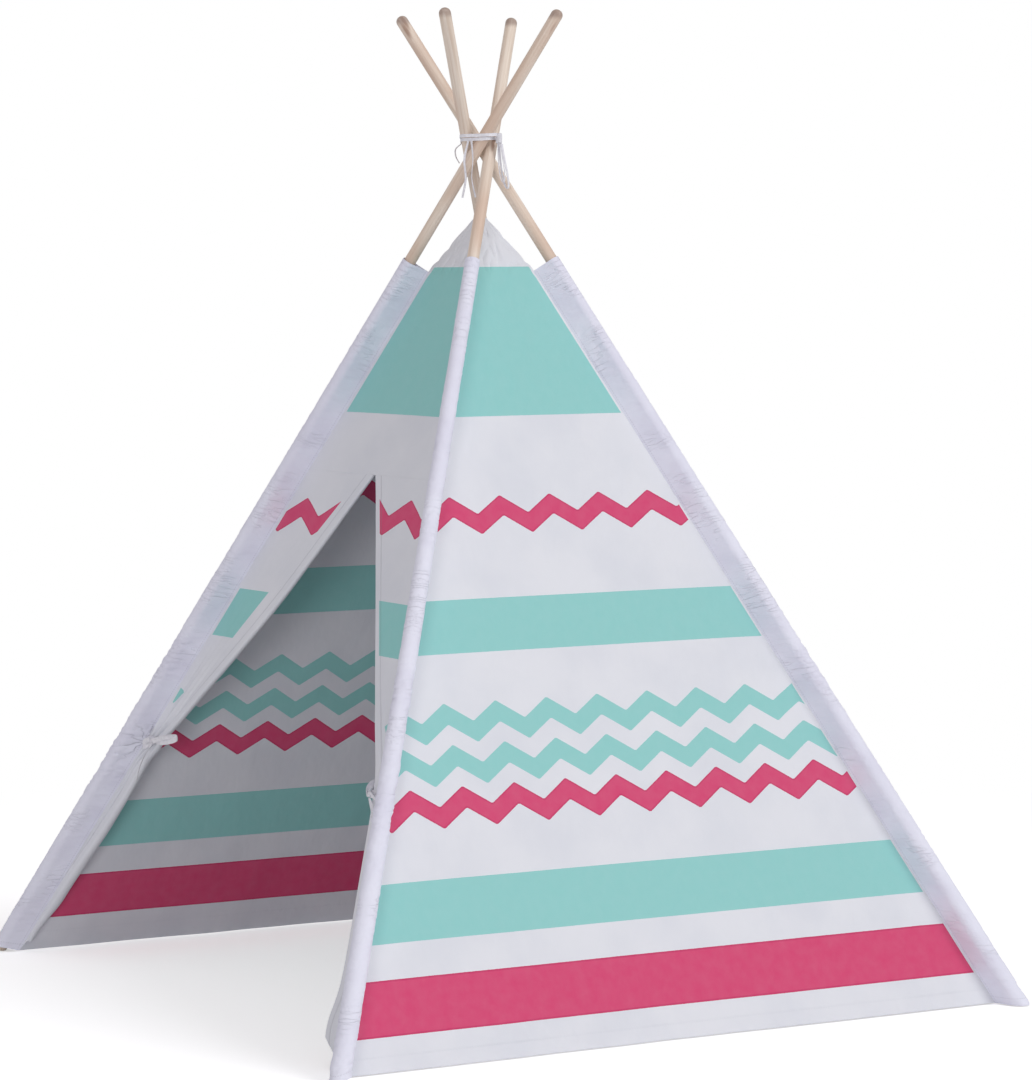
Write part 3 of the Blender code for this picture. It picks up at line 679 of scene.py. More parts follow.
def cover_face(name, face, corner, bottom, rows, margins, print_rise=0.0):
    obj, across_share, up_share = cloth_grid(name + "_cotton", FACE_COLUMNS, rows)
    top = PEAK_HEIGHT - PEAK_OPENING
    height = np.interp(up_share, [0, 1 - PEAK_ROW_SHARE, 1], [bottom, SHOULDER_HEIGHT - PEAK_EASE, top])
    half = face.half * cover_share(height) - SEAM_CLEARANCE
    across = half * (2 * across_share - 1)
    places = crumple(face.places(across, height, CLOTH / 2 + face.dent(across, height)))
    start, end = margins
    inked = np.minimum(across + half - start, half - across - end)
    line = places[:, 1] if face.side[1] else front_pattern(places[:, 0])
    shape_cloth(obj, places, np.stack([line, height - print_rise], 1), CLOTH, {"inked": inked})
    dress(obj, COTTON, name, corner.name)
    fold_cloth(obj)


front_left, front_right, rear_right, rear_left = CORNERS
cover_face("front_panel", FRONT, front_left, DOOR_TOP, FACE_ROWS // 2, (0.009, 0.009))
cover_face("right_wall", RIGHT, front_right, WALL_HEM_HEIGHT, FACE_ROWS, (0.001, 0.004))
cover_face("rear_wall", REAR, rear_right, WALL_HEM_HEIGHT, FACE_ROWS, (0.009, 0.009))
cover_face("left_wall", LEFT, rear_left, WALL_HEM_HEIGHT, FACE_ROWS, (0.018, 0.001), LEFT_PRINT_RISE)


# The corner sleeves are plain white cotton, folded round each pole and sewn flat at the cover's corner.
# They are cut square at the top, turned up a little at the foot, and wrinkle at the ferrules and ties.
# Each place where the folds are busier has its reach, and how much busier they are.
SLEEVE_TOP_DROP = 0.197
SLEEVE_TOP_RADIUS = 0.0110
SLEEVE_FOOT_RADIUS = 0.0150
SLEEVE_CLOTH = 0.0008
SLEEVE_COLUMNS = 72
SLEEVE_ROWS = 380
SLEEVE_ROUND = 0.098
SLEEVE_NOISE_WIDTH = 0.09
SLEEVE_WRINKLE = 0.0012
BAND_SIZE = 0.042
FOLD_SIZE = 0.021
FINE_FOLD_SIZE = 0.010
FOLD_SHARPNESS = 5
BUSY_SIZE = 0.11
BUSY_LIMITS = (0.15, 1.6)
BUSY_AT_FERRULE = (0.05, 0.9)
BUSY_AT_TIE = (0.07, 1.1)
BUSY_TIE_DROP = 0.03
BUSY_AT_FOOT = (0.06, 0.8)
SEAM_FREEDOM = 12
SLEEVE_FOOT_HEIGHT = 0.0015
SLEEVE_FOOT_LIFT = 0.0075
SLEEVE_LIFT_REACH = 0.045
TIE_CREASE = 0.0013
TIE_CREASE_REACH = 0.034
TIE_CREASE_START = 0.008
TIE_CREASE_COUNT = 5
SLEEVE_CLEAR = 0.0108
SEAM_TUCK = 0.0008
TIE_HEIGHT = 0.347
TIE_ALONG = CORNERS[0].local(TIE_HEIGHT) - CORNERS[0].local(SLEEVE_FOOT_HEIGHT)
SLEEVE_WHITE = srgb(232, 233, 246)
SLEEVE_LILAC = srgb(225, 225, 240)
# A grey for the stitches, and for the painted shade in the tie's creases.
SLEEVE_STITCH_AND_SHADE_GREY = srgb(186, 186, 200)


def sleeve_cotton():
    """White cotton, stitched along the seam and the foot, and creased where a tie draws it in, with painted
    shade along the tie's creases.
    """
    finish = material("sleeve_cotton")
    place, across, along = finish.pattern()
    cloud = finish.noise(place, 14.0)
    sewn = stitches(abs(across), along, 0.0040, 0.0040) + stitches(along, across, 0.0120, 0.0035)
    lines = finish.noise(finish.scaled(place, (0.45, 1.9, 1.0)), 62.0, 1.0)
    creases = abs(lines - 0.5).soft(0.0, 0.045) * finish.noise(place, 11.0, 1.0).soft(0.46, 0.62)
    fan = abs(((along - TIE_ALONG).bearing(across) * TIE_CREASE_COUNT + lines * 4).sine())
    tie_crease_and_shade = (1 - fan.soft(0.0, 0.30)) * finish.attribute("tied")
    waves = finish.noise(finish.scaled(place, (0.6, 1.5, 1.0)), 70.0)
    threads = (weave(across, along) + sewn, 0.00012)
    normal = finish.bumps((waves, 0.0013), (creases, 0.0006), (1 - tie_crease_and_shade, 0.0012), threads)
    # The stitches are greyed, and the tie's creases carry painted shade.
    stitches_and_crease_shade = (sewn * 0.35 + tie_crease_and_shade * 0.5, SLEEVE_STITCH_AND_SHADE_GREY)
    colour = finish.tint(SLEEVE_WHITE, (cloud.soft(0.35, 0.7), SLEEVE_LILAC), stitches_and_crease_shade)
    return finish.surface(colour, 0.84 + cloud * 0.1, normal, CLOTH_SHINE)


def ridge_place(corner, height):
    share = float(cover_share(height))
    return Vector((corner.side * COVER_WIDTH * share, corner.depth * COVER_DEPTH * share, height))


def sleeve_outline(radius, reach):
    """The sleeve's cut in the pole's frame: from the seam round the pole and back to the seam."""
    flank = asin(radius / reach)
    first = pi / 2 - flank
    arc = np.linspace(first, 2 * pi - first, 61)
    ring = np.stack([radius * np.cos(arc), radius * np.sin(arc)], 1)
    line = np.vstack([[reach, 0], ring, [reach, 0]])
    return line, run_along(line)


def sleeve_wrinkles(corner, round_share, local, bottom, seed):
    """How far the cloth stands off its smooth tube, and how strongly its tie creases it."""
    from_seam = np.minimum(round_share, 1 - round_share)
    flat = flat_places(round_share * SLEEVE_NOISE_WIDTH, local)
    bands = cloth_noise(flat * (1.0, 1.8, 1), BAND_SIZE, seed)
    small = ridges(flat * (0.55, 1.9, 1), FOLD_SIZE, seed + 1, FOLD_SHARPNESS)
    fine = ridges(flat * (0.5, 1.8, 1), FINE_FOLD_SIZE, seed + 3, FOLD_SHARPNESS)
    busy = 0.45 + 0.5 * cloth_noise(flat * (0, 1, 0), BUSY_SIZE, seed + 2)
    tie_local = corner.local(TIE_HEIGHT)
    busy_places = [(section_ends[1], *BUSY_AT_FERRULE), (section_ends[2], *BUSY_AT_FERRULE)]
    if corner.depth < 0:
        busy_places.append((tie_local - BUSY_TIE_DROP, *BUSY_AT_TIE))
    for place, reach, more in (*busy_places, (bottom, *BUSY_AT_FOOT)):
        busy = busy + more * peak_at(place, reach, local)
    wrinkle = SLEEVE_WRINKLE * np.clip(busy, *BUSY_LIMITS) * (bands * 0.4 - small * 1.1 - fine * 0.7 + 0.35)
    tied = np.zeros_like(local)
    if corner.depth < 0:
        from_knot = np.hypot(SLEEVE_ROUND * from_seam, local - tie_local)
        bearing = np.arctan2(local - tie_local, SLEEVE_ROUND * from_seam)
        rays = (1 - np.abs(np.sin(TIE_CREASE_COUNT * bearing + 1.2 * bands))) ** 2
        tied = peak_at(0, TIE_CREASE_REACH, from_knot) * ease(from_knot / TIE_CREASE_START)
        wrinkle = wrinkle - TIE_CREASE * rays * tied
    return wrinkle * ease(from_seam * SEAM_FREEDOM), tied


def sleeve(corner, seed):
    name = corner.name + "_sleeve"
    obj, round_share, up_share = cloth_grid(name + "_cotton", SLEEVE_COLUMNS, SLEEVE_ROWS)
    bottom = corner.local(SLEEVE_FOOT_HEIGHT)
    top = -SLEEVE_TOP_DROP
    inverse = corner.matrix.inverted()
    seam_low = inverse @ ridge_place(corner, 0)
    seam_high = inverse @ ridge_place(corner, SHOULDER_HEIGHT)
    push, tied = sleeve_wrinkles(corner, round_share, bottom + (top - bottom) * up_share, bottom, seed)
    places = np.empty((len(tied), 3))
    pattern = np.empty((len(tied), 2))
    for index, row in enumerate(grid_rows(up_share, SLEEVE_ROWS)):
        share = index / SLEEVE_ROWS
        z = bottom + (top - bottom) * share
        seam = seam_low.lerp(seam_high, (z - seam_low.z) / (seam_high.z - seam_low.z))
        reach = hypot(seam.x, seam.y) + SEAM_TUCK
        radius = SLEEVE_FOOT_RADIUS + (SLEEVE_TOP_RADIUS - SLEEVE_FOOT_RADIUS) * share - SLEEVE_CLOTH / 2
        line, run = sleeve_outline(radius, reach)
        at = round_share[row] * run[-1]
        step = run[-1] / SLEEVE_COLUMNS
        x, y = line_at(line, run, at)
        dx, dy = line_at(line, run, at + step) - line_at(line, run, at - step)
        length = np.hypot(dx, dy)
        x = x + dy / length * push[row]
        y = y - dx / length * push[row]
        grow = np.maximum(1, SLEEVE_CLEAR / np.maximum(np.hypot(x, y), POLE_RADIUS / 2))
        x = x * grow
        y = y * grow
        turn = atan2(seam.y, seam.x)
        lean = tan(corner.tilt) * (1 - share)
        local_x = x * cos(turn) - y * sin(turn)
        local_y = x * sin(turn) + y * cos(turn)
        low = ease(1 - (z - bottom) / SLEEVE_LIFT_REACH)
        lift = SLEEVE_FOOT_LIFT * low * np.clip(-local_y / radius, 0, 1)
        places[row] = np.stack([local_x, local_y, z + local_x * lean + lift], 1)
        pattern[row] = np.stack([np.minimum(at, run[-1] - at), np.full(len(row), z - bottom)], 1)
    world = np.array(corner.matrix)
    places = places @ world[:3, :3].T + world[:3, 3]
    shape_cloth(obj, places, pattern, SLEEVE_CLOTH, {"tied": tied}, closed=True)
    dress(obj, SLEEVE_COTTON, name, corner.name)


SLEEVE_COTTON = sleeve_cotton()
for turn, corner in enumerate(CORNERS):
    sleeve(corner, 40 + turn * 5)


# The door flaps are the front face's lower halves, slit up the middle and drawn back to the poles.
# Each is turned over along its free edge, gathered by its tie, and falls in loose folds to the floor.
DOOR_TOP_GAP = 0.004
DOOR_TOP_CLEARANCE = 0.0001
TIE_GATHER_WIDTH = 0.043
HEM_GATHER_WIDTH = 0.0655
EDGE_BACK = 0.0003
PINCH_BACK = 0.005
PINCH_SPREAD = 0.020
ROLL_RADII = (0.0026, 0.0045, 0.0090)
ROLL_TURN = radians(285)
ROLL_FLAT_SHARE = 2.4
FOLD_COUNT = 2
FOLD_START = 0.180
TIE_FOLD_DEPTH = 0.011
HEM_FOLD_DEPTH = 0.016
FLAP_COLUMNS = 130
FLAP_ROWS = 240
FLAT_SHARE = 0.72
FLAP_BORDERS = {-1: 0.032, 1: 0.015}
FLAP_SLIPS = {-1: 0.018, 1: 0.0065}
FLAP_BELLIES = {-1: 0.019, 1: 0.0}
FLAP_RISES = {-1: 0.012, 1: 0.032}
FLAP_BULGES = {-1: 0.0, 1: 0.022}
FLAP_BULGE_HEIGHT = 0.048
FLAP_BULGE_SPREAD = 0.040
NARROWED_BY_TIE = {-1: 0.014, 1: 0.0}
NARROWED_BY_FOOT = {-1: 0.036, 1: 0.0}
NARROWING_START = 0.008
NARROWING_REACH = 0.03
FOOT_NARROWING_HEIGHT = 0.27
FOOT_NARROWING_REACH = 0.24
TIED_BORDER = 0.0285
FOLD_EASE = 0.035
FOLD_LEFT = 0.35
PLEAT_COUNT = 7
PLEAT_DEPTH = 0.0016
PLEAT_REACHES = (0.10, 0.16)
PLEAT_DRIFT_SIZE = 0.03
ROW_BEND = 0.10
TIE_HOLD = 0.014
SWAY_SIZE = 0.11
FLAP_NOISE_WIDTH = 0.05
ROLL_SWELL_SIZE = 0.05
FOLD_REACH = 0.09
ROLL_REACH = 0.07
UNPRINTED_REACH = 0.02
BORDER_TURN_HEIGHT = 0.47
BORDER_TURN_REACH = 0.08
FACE_BORDER = 0.009


def rise_to(height, at_top, at_tie, at_hem):
    """A size that changes evenly from the door's top to the tie, and from the tie to the hem."""
    upper = (DOOR_TOP - height) / (DOOR_TOP - TIE_HEIGHT)
    lower = (TIE_HEIGHT - height) / (TIE_HEIGHT - HEM_HEIGHT)
    above = at_top + (at_tie - at_top) * upper
    below = at_tie + (at_hem - at_tie) * lower
    return np.where(height >= TIE_HEIGHT, above, below)


def outer_edge(height):
    pinch = PINCH_BACK * peak_at(TIE_HEIGHT, PINCH_SPREAD, height)
    return COVER_WIDTH * cover_share(height) - EDGE_BACK - pinch


def door_edge(height):
    tie_edge = outer_edge(np.array(TIE_HEIGHT)) - TIE_GATHER_WIDTH
    hem_edge = outer_edge(np.array(HEM_HEIGHT)) - HEM_GATHER_WIDTH
    return rise_to(height, DOOR_TOP_GAP, tie_edge, hem_edge)


def roll_radius(height):
    return rise_to(height, *ROLL_RADII)


def fold_depth(height):
    above = TIE_FOLD_DEPTH * ease(1 - (height - TIE_HEIGHT) / FOLD_START)
    below = rise_to(height, 0, TIE_FOLD_DEPTH, HEM_FOLD_DEPTH)
    return np.where(height >= TIE_HEIGHT, above, below)


def rolled_edge(side, height):
    """How far from the middle the flap's rolled edge hangs."""
    bulge = FLAP_BULGES[side] * peak_at(FLAP_BULGE_HEIGHT, FLAP_BULGE_SPREAD, height)
    above_tie = np.clip((DOOR_TOP - height) / (DOOR_TOP - TIE_HEIGHT), 0, 1)
    belly = FLAP_BELLIES[side] * np.sin(pi * above_tie) ** 1.5
    by_tie = NARROWED_BY_TIE[side] * ease((TIE_HEIGHT - NARROWING_START - height) / NARROWING_REACH)
    by_foot = NARROWED_BY_FOOT[side] * ease((FOOT_NARROWING_HEIGHT - height) / FOOT_NARROWING_REACH)
    return door_edge(height) + roll_radius(height) - bulge - belly + (by_tie + by_foot)


def door_flap(name, side, corner, seed):
    obj, across_share, up_share = cloth_grid(name + "_cotton", FLAP_COLUMNS, FLAP_ROWS)
    column = across_share if side < 0 else 1 - across_share
    flat = np.minimum(1, column / FLAT_SHARE)
    top = DOOR_TOP - DOOR_TOP_CLEARANCE
    bottom = HEM_HEIGHT + FLAP_RISES[side] * flat**1.5
    from_tie_row = up_share - (TIE_HEIGHT - HEM_HEIGHT) / (top - HEM_HEIGHT)
    bend = ROW_BEND * np.sin(2 * pi * from_tie_row) * np.sin(pi * up_share) ** 2
    height = bottom + (top - bottom) * (up_share + bend)
    radius = roll_radius(height)
    start = outer_edge(height)
    end = rolled_edge(side, height)
    from_tie = np.abs(height - TIE_HEIGHT)
    free = 1 - peak_at(0, TIE_HOLD, from_tie)
    line = flat_places(flat * FLAP_NOISE_WIDTH, height)
    sway = cloth_noise(line * (0, 1, 0), SWAY_SIZE, seed) * free

    folds_end = np.maximum(0.001, 1 - np.minimum(1, ROLL_FLAT_SHARE * radius / (start - end)))
    wave = np.clip(flat / folds_end, 0, 1)
    wave = wave + 0.22 * sway * wave * (1 - wave)
    tight = FOLD_LEFT + (1 - FOLD_LEFT) * peak_at(0, FOLD_EASE, from_tie)
    by_hem = 0.3 + 0.7 * ease((height - bottom) / FOLD_REACH)
    depth = fold_depth(height) * (1 + 0.12 * sway) * tight * by_hem
    folded = depth * (1 - np.cos(2 * pi * FOLD_COUNT * wave)) / 2
    drift = cloth_noise(line * (1, 0.3, 0), PLEAT_DRIFT_SIZE, seed + 1)
    pleat = np.abs(np.sin(pi * PLEAT_COUNT * flat + 1.4 * drift))
    reach = np.where(height > TIE_HEIGHT, *PLEAT_REACHES)
    pleats = PLEAT_DEPTH * np.exp(-from_tie / reach) * pleat * free * np.sin(pi * flat)

    angle = ROLL_TURN * np.clip((column - FLAT_SHARE) / (1 - FLAT_SHARE), 0, 1)
    swell = cloth_noise(line * (0, 1, 0), ROLL_SWELL_SIZE, seed + 2) * free
    rolled = radius * (1 + 0.10 * swell) * (0.4 + 0.6 * ease((height - bottom) / ROLL_REACH))
    across = start + (end - start) * flat - rolled * np.sin(angle)
    hang = FRONT.dent(across, height) * np.where(height > TIE_HEIGHT, free, 0.3 * free)
    inside = CLOTH / 2 + folded + pleats + rolled * (1 - np.cos(angle)) + hang
    places = FRONT.places(side * across, height, inside)

    border = FLAP_BORDERS[side] + TIED_BORDER * ease((BORDER_TURN_HEIGHT - height) / BORDER_TURN_REACH)
    to_seam = FRONT.half * cover_share(height) - across
    inked = np.minimum(across - door_edge(height) - border, to_seam - FACE_BORDER)
    inked = np.where((column > FLAT_SHARE) | (height < TIE_HEIGHT + UNPRINTED_REACH), -0.01, inked)
    turned = np.where(column > FLAT_SHARE, 0, across - end + radius + EDGE_OFFSET)
    pattern = np.stack([front_pattern(side * across), height + FLAP_SLIPS[side]], 1)
    shape_cloth(obj, places, pattern, CLOTH, {"inked": inked, "turned": turned})
    dress(obj, COTTON, name, corner.name)
    fold_cloth(obj)


door_flap("left_door_flap", -1, front_left, 60)
door_flap("right_door_flap", 1, front_right, 70)


# The door ties are narrow white cotton tapes, passed round each gathered flap and tied in a small bow.
# Each has its band, its knot, two drooping loops and one hanging end.
TAPE_WIDTH = 0.010
TAPE_THICKNESS = 0.0009
TAPE_COLUMNS = 6
TIE_CLEARANCE = 0.0008
TIE_CORNER = 0.0022
BAND_COLUMNS = 90
GAP = 0.0003
KNOT_SIZE = 0.009
KNOT_TURN_PITCH = 0.0036
KNOT_LUMP_SIZE = 0.004
BOW_TAPE_WIDTH = 0.0080
BOW_TAPE_THICKNESS = TAPE_THICKNESS * 0.7
BOW_CUP = 0.0009
BOW_LOOP_LENGTHS = {(-1, -1): 0.050, (-1, 1): 0.022, (1, -1): 0.017, (1, 1): 0.026}
BOW_LOOP_FALLS = {(-1, -1): -0.009, (-1, 1): 0.010, (1, -1): -0.013, (1, 1): 0.010}
BOW_LOOP_OPENINGS = {-1: 0.0215, 1: 0.013}
BOW_LOOP_RETURN = 0.012
BOW_LOOP_DEPTH = 0.011
TIE_TAIL_LENGTHS = {-1: 0.055, 1: 0.026}
TIE_TAIL_SWINGS = {-1: 0.004, 1: 0.034}
TIE_TAIL_CURLS = {-1: 0.0045, 1: -0.0012}
TIE_TAIL_CUP = 0.0006
TAPE_THREAD = 0.0005
TAPE_WHITE = srgb(236, 236, 241)
TAPE_SHADE = srgb(214, 213, 221)


def cotton_tape():
    """White tape, woven in slanting rows."""
    finish = material("cotton_tape")
    place, across, along = finish.pattern()
    rows = ((along + abs(across) * 0.7) * (pi / TAPE_THREAD)).sine() * 0.5 + 0.5
    cloud = finish.noise(place, 160.0, 3.0)
    colour = finish.mix(cloud.soft(0.3, 0.75) * 0.7 + rows * 0.2, TAPE_WHITE, TAPE_SHADE)
    return finish.surface(colour, 0.8 + cloud * 0.1, finish.bumps((rows * 0.3 + cloud, 0.0002)))


TAPE = cotton_tape()


def tape(name, route, across, width, thickness, cup):
    """A flat tape along a route, its width along the given directions and its middle cupped."""
    rows = len(route) - 1
    obj, across_share, up_share = cloth_grid(name, TAPE_COLUMNS, rows)
    line = np.array([tuple(point) for point in route])
    wide = np.array([tuple(direction) for direction in across])
    wide /= np.linalg.norm(wide, axis=1)[:, None]
    along = np.gradient(line, axis=0)
    along /= np.linalg.norm(along, axis=1)[:, None]
    face = np.cross(wide, along)
    face /= np.linalg.norm(face, axis=1)[:, None]
    index = np.round(up_share * rows).astype(int)
    offset = (across_share - 0.5)[:, None]
    places = line[index] + wide[index] * offset * width + face[index] * cup * (1 - 4 * offset**2)
    pattern = np.stack([(across_share - 0.5) * width, run_along(line)[index]], 1)
    shape_cloth(obj, places, pattern, thickness)
    return obj


def knot(name, centre, axes, size):
    """A small tight knot: a rounded lump with the tape's turns showing round it."""
    deselect_all()
    bpy.ops.mesh.primitive_cube_add(size=1)
    obj = bpy.context.object
    obj.name = name
    obj.data.name = name
    obj.scale = size
    bpy.ops.object.transform_apply()
    modify(obj, "BEVEL", width=min(size) * 0.3, segments=3)
    modify(obj, "SUBSURF", levels=3, render_levels=3)
    places = np.array([vertex.co for vertex in obj.data.vertices])
    turns = np.abs(np.sin((places[:, 2] + places[:, 1] * 0.8) * pi / KNOT_TURN_PITCH))
    places *= (1 - 0.12 * (1 - turns) - 0.05 * cloth_noise(places, KNOT_LUMP_SIZE, 5))[:, None]
    obj.data.vertices.foreach_set("co", places.ravel())
    obj.data.transform(Matrix.Translation(centre) @ axes.to_4x4())
    make_active(obj)
    bpy.ops.object.shade_smooth()
    return obj


def front_places(side, across, height, inside):
    """Places on the front face by distance from the middle, height and depth behind it."""
    values = [np.asarray(value, float) for value in (across, height, inside)]
    across, height, inside = (value.ravel() for value in np.broadcast_arrays(*values))
    return FRONT.places(side * across, height, inside)


def tie_line(height, spread):
    """A rounded loop round the gathered flap, as distance from the middle and depth."""
    start = float(outer_edge(height))
    end = float(door_edge(height)) - CLOTH / 2
    depth = max(float(fold_depth(height)), 2 * float(roll_radius(height))) + CLOTH
    half_width = (start - end) / 2 + spread
    half_depth = depth / 2 + spread
    line = []
    for quarter, (right, back) in enumerate(((1, 1), (-1, 1), (-1, -1), (1, -1))):
        for step in range(7):
            angle = pi / 2 * (quarter + step / 6)
            across = (start + end) / 2 + right * (half_width - TIE_CORNER) + TIE_CORNER * cos(angle)
            inside = depth / 2 + back * (half_depth - TIE_CORNER) + TIE_CORNER * sin(angle)
            line.append((across, inside))
    return np.array([*line, line[0]])


def tie_band(name, side):
    """The tape round the flap, its width in five rows that each follow the gathers."""
    rows = 4
    obj, round_share, up_share = cloth_grid(name, BAND_COLUMNS, rows)
    height = TIE_HEIGHT + TAPE_WIDTH * (up_share - 0.5)
    places = np.empty((len(height), 3))
    pattern = np.empty((len(height), 2))
    for row in grid_rows(up_share, rows):
        line = tie_line(height[row[0]], TIE_CLEARANCE + TAPE_THICKNESS / 2)
        run = run_along(line)
        at = round_share[row] * run[-1] * -side % run[-1]
        across, inside = line_at(line, run, at)
        places[row] = front_places(side, across, height[row], inside)
        pattern[row] = np.stack([height[row] - TIE_HEIGHT, at], 1)
    shape_cloth(obj, places, pattern, TAPE_THICKNESS)
    return obj


def bow_loop(name, side, direction, knot_at, front):
    """One drooping loop of the bow, starting and ending beside the knot."""
    share = np.linspace(0, 1, 49)
    swing = np.sin(pi * share)
    across = knot_at + direction * (KNOT_SIZE / 2 + GAP + BOW_LOOP_LENGTHS[side, direction] * swing)
    belly = BOW_LOOP_DEPTH * (share - 0.5) * (1 + swing) / 2
    inside = front - KNOT_SIZE / 2 + belly + BOW_LOOP_RETURN * (direction < 0) * swing**2
    fall = BOW_LOOP_FALLS[side, direction] * swing**1.3 - BOW_LOOP_OPENINGS[side] * (0.5 - share) * swing
    route = front_places(side, across, TIE_HEIGHT - fall, inside)
    up_face = np.array([0, sin(FRONT.slope) - 0.5, cos(FRONT.slope)])
    curl = np.sin(2 * pi * share)[:, None] * np.array([0.25 * side * direction, -0.35, 0])
    return tape(name, route, up_face[None] + curl, BOW_TAPE_WIDTH, BOW_TAPE_THICKNESS, BOW_CUP)


def tie_tail(name, side, knot_at, front):
    share = np.linspace(0, 1, 41)
    height = TIE_HEIGHT - KNOT_SIZE / 2 - GAP - TIE_TAIL_LENGTHS[side] * share
    curl = TIE_TAIL_CURLS[side] * np.sin(pi * share)
    across = knot_at + TIE_TAIL_SWINGS[side] * share
    route = front_places(side, across, height, front - KNOT_SIZE / 2 - curl)
    twist = share * 0.9 + 0.25 * np.sin(5 * share)
    wide = np.stack([np.cos(twist), side * np.sin(twist), 0.1 * np.sin(6 * share)], 1)
    return tape(name, route, wide, BOW_TAPE_WIDTH * 0.7, BOW_TAPE_THICKNESS, TIE_TAIL_CUP)


def door_tie(prefix, side, corner):
    front = -(TIE_CLEARANCE + TAPE_THICKNESS + GAP)
    knot_at = float(door_edge(TIE_HEIGHT)) + KNOT_SIZE
    centre = Vector(front_places(side, knot_at, TIE_HEIGHT, front - KNOT_SIZE / 2)[0])
    axes = Matrix.Rotation(-FRONT.slope, 3, "X")
    pieces = {
        "band": tie_band(prefix + "_tie_band_tape", side),
        "knot": knot(prefix + "_tie_knot_tape", centre, axes, (KNOT_SIZE, KNOT_SIZE, KNOT_SIZE)),
        "inner_loop": bow_loop(prefix + "_tie_inner_loop_tape", side, -1, knot_at, front),
        "outer_loop": bow_loop(prefix + "_tie_outer_loop_tape", side, 1, knot_at, front),
        "tail": tie_tail(prefix + "_tie_tail_tape", side, knot_at, front),
    }
    for part, piece in pieces.items():
        dress(piece, TAPE, f"{prefix}_tie_{part}", corner.name)
        fold_cloth(piece)


door_tie("left", -1, front_left)
door_tie("right", 1, front_right)


# The lashing is one long flat cotton tape, wound twice round the crossed poles and tied in a bow.
# Its knot and loops hang on the right, two long ends hang at the front and a short curled one at the left.
LASHING_RISE = 0.018
LASHING_TURNS = 2
LASHING_PITCH = 0.0055
TURN_POINTS = 90
LASHING_SLACK = 0.0003
CORD_DIAMETER = 0.003
LASHING_TAPE_WIDTH = 0.0048
LASHING_TAPE_THICKNESS = 0.0009
LASHING_CUP = 0.0003
LASHING_KNOT = (0.008, 0.010, 0.016)
LOOP_TAPE_WIDTH = 0.0034
LOOP_DROP = 0.062
LOOP_WIDTH = 0.015
LOOP_NECK = 0.0045
LOOP_SPACING = 0.0040
LOOP_SPLAY = 0.004
LOOP_START = 0.0015
LOOP_LEAN = 0.009
LOOP_CURVE = 0.8
KNOT_TURN = radians(-10)
STRAND_TURN = radians(-20)
STRAND_DROP = 0.085
STRAND_SPACING = 0.006
STRAND_SWAY = 0.004
STRAND_LEAN = 0.003
STRAND_TWIST = 0.9
TAIL_TURN = radians(20)
TAIL_DROP = 0.032
TAIL_SWING = 0.008

lashing_height = CROSSING_HEIGHT + LASHING_RISE


def towards(bearing):
    return Vector((cos(bearing), sin(bearing), 0))


def hull_reach(height, angle):
    """How far the four crossed poles reach from the axis in one level direction."""
    normal = towards(angle)
    reaches = []
    for corner in CORNERS:
        along = normal.dot(corner.outward) / cos(corner.tilt)
        ellipse = POLE_RADIUS * hypot(along, normal.dot(corner.hinge))
        reaches.append(normal.dot(corner.centre(height)) + ellipse)
    return max(reaches)


def wrap_point(height, angle, spread):
    step = pi / 30
    reach = hull_reach(height, angle)
    change = (hull_reach(height, angle + step) - hull_reach(height, angle - step)) / (2 * step)
    normal = towards(angle)
    return normal * (reach + spread) + UP.cross(normal) * change + UP * height


knot_bearing = rear_right.bearing + KNOT_TURN
knot_out = towards(knot_bearing)
knot_round = UP.cross(knot_out)
knot_reach = hull_reach(lashing_height, knot_bearing) + 2 * GAP + LASHING_SLACK + CORD_DIAMETER
knot_centre = knot_out * (knot_reach + LASHING_KNOT[0] / 2) + UP * lashing_height


def by_knot(out, round_by, up):
    return knot_centre + knot_out * out + knot_round * round_by + UP * up


def wrap_route(spread, count):
    rise = LASHING_PITCH * LASHING_TURNS
    side = LASHING_KNOT[1] / 2 + GAP
    total = LASHING_TURNS * count
    skipped = max(3, round(count / 10))
    route = [by_knot(0, side, -rise / 2), by_knot(0, side + CORD_DIAMETER, -rise / 2)]
    for index in range(skipped, total - skipped + 1):
        share = index / total
        angle = knot_bearing + 2 * pi * LASHING_TURNS * share
        route.append(wrap_point(lashing_height + rise * (share - 0.5), angle, spread))
    return route + [by_knot(0, -side - CORD_DIAMETER, rise / 2), by_knot(0, -side, rise / 2)]


def smooth_route(points, spacing):
    """Points every spacing along a smooth curve through the given points."""
    knots = [Vector(point) for point in points]
    padded = [2 * knots[0] - knots[1], *knots, 2 * knots[-1] - knots[-2]]
    route = [knots[0]]
    for before, start, end, after in zip(padded, padded[1:], padded[2:], padded[3:]):
        steps = max(1, round((end - start).length / spacing))
        for step in range(1, steps + 1):
            t = step / steps
            route.append(
                start * (2 * t**3 - 3 * t**2 + 1)
                + (end - before) / 2 * (t**3 - 2 * t**2 + t)
                + end * (3 * t**2 - 2 * t**3)
                + (after - start) / 2 * (t**3 - t**2)
            )
    return route


def lashing_tape(node, route, wide, width):
    piece = tape(node + "_tape", route, wide, width, LASHING_TAPE_THICKNESS, LASHING_CUP)
    dress(piece, TAPE, node, "crown")
    return piece


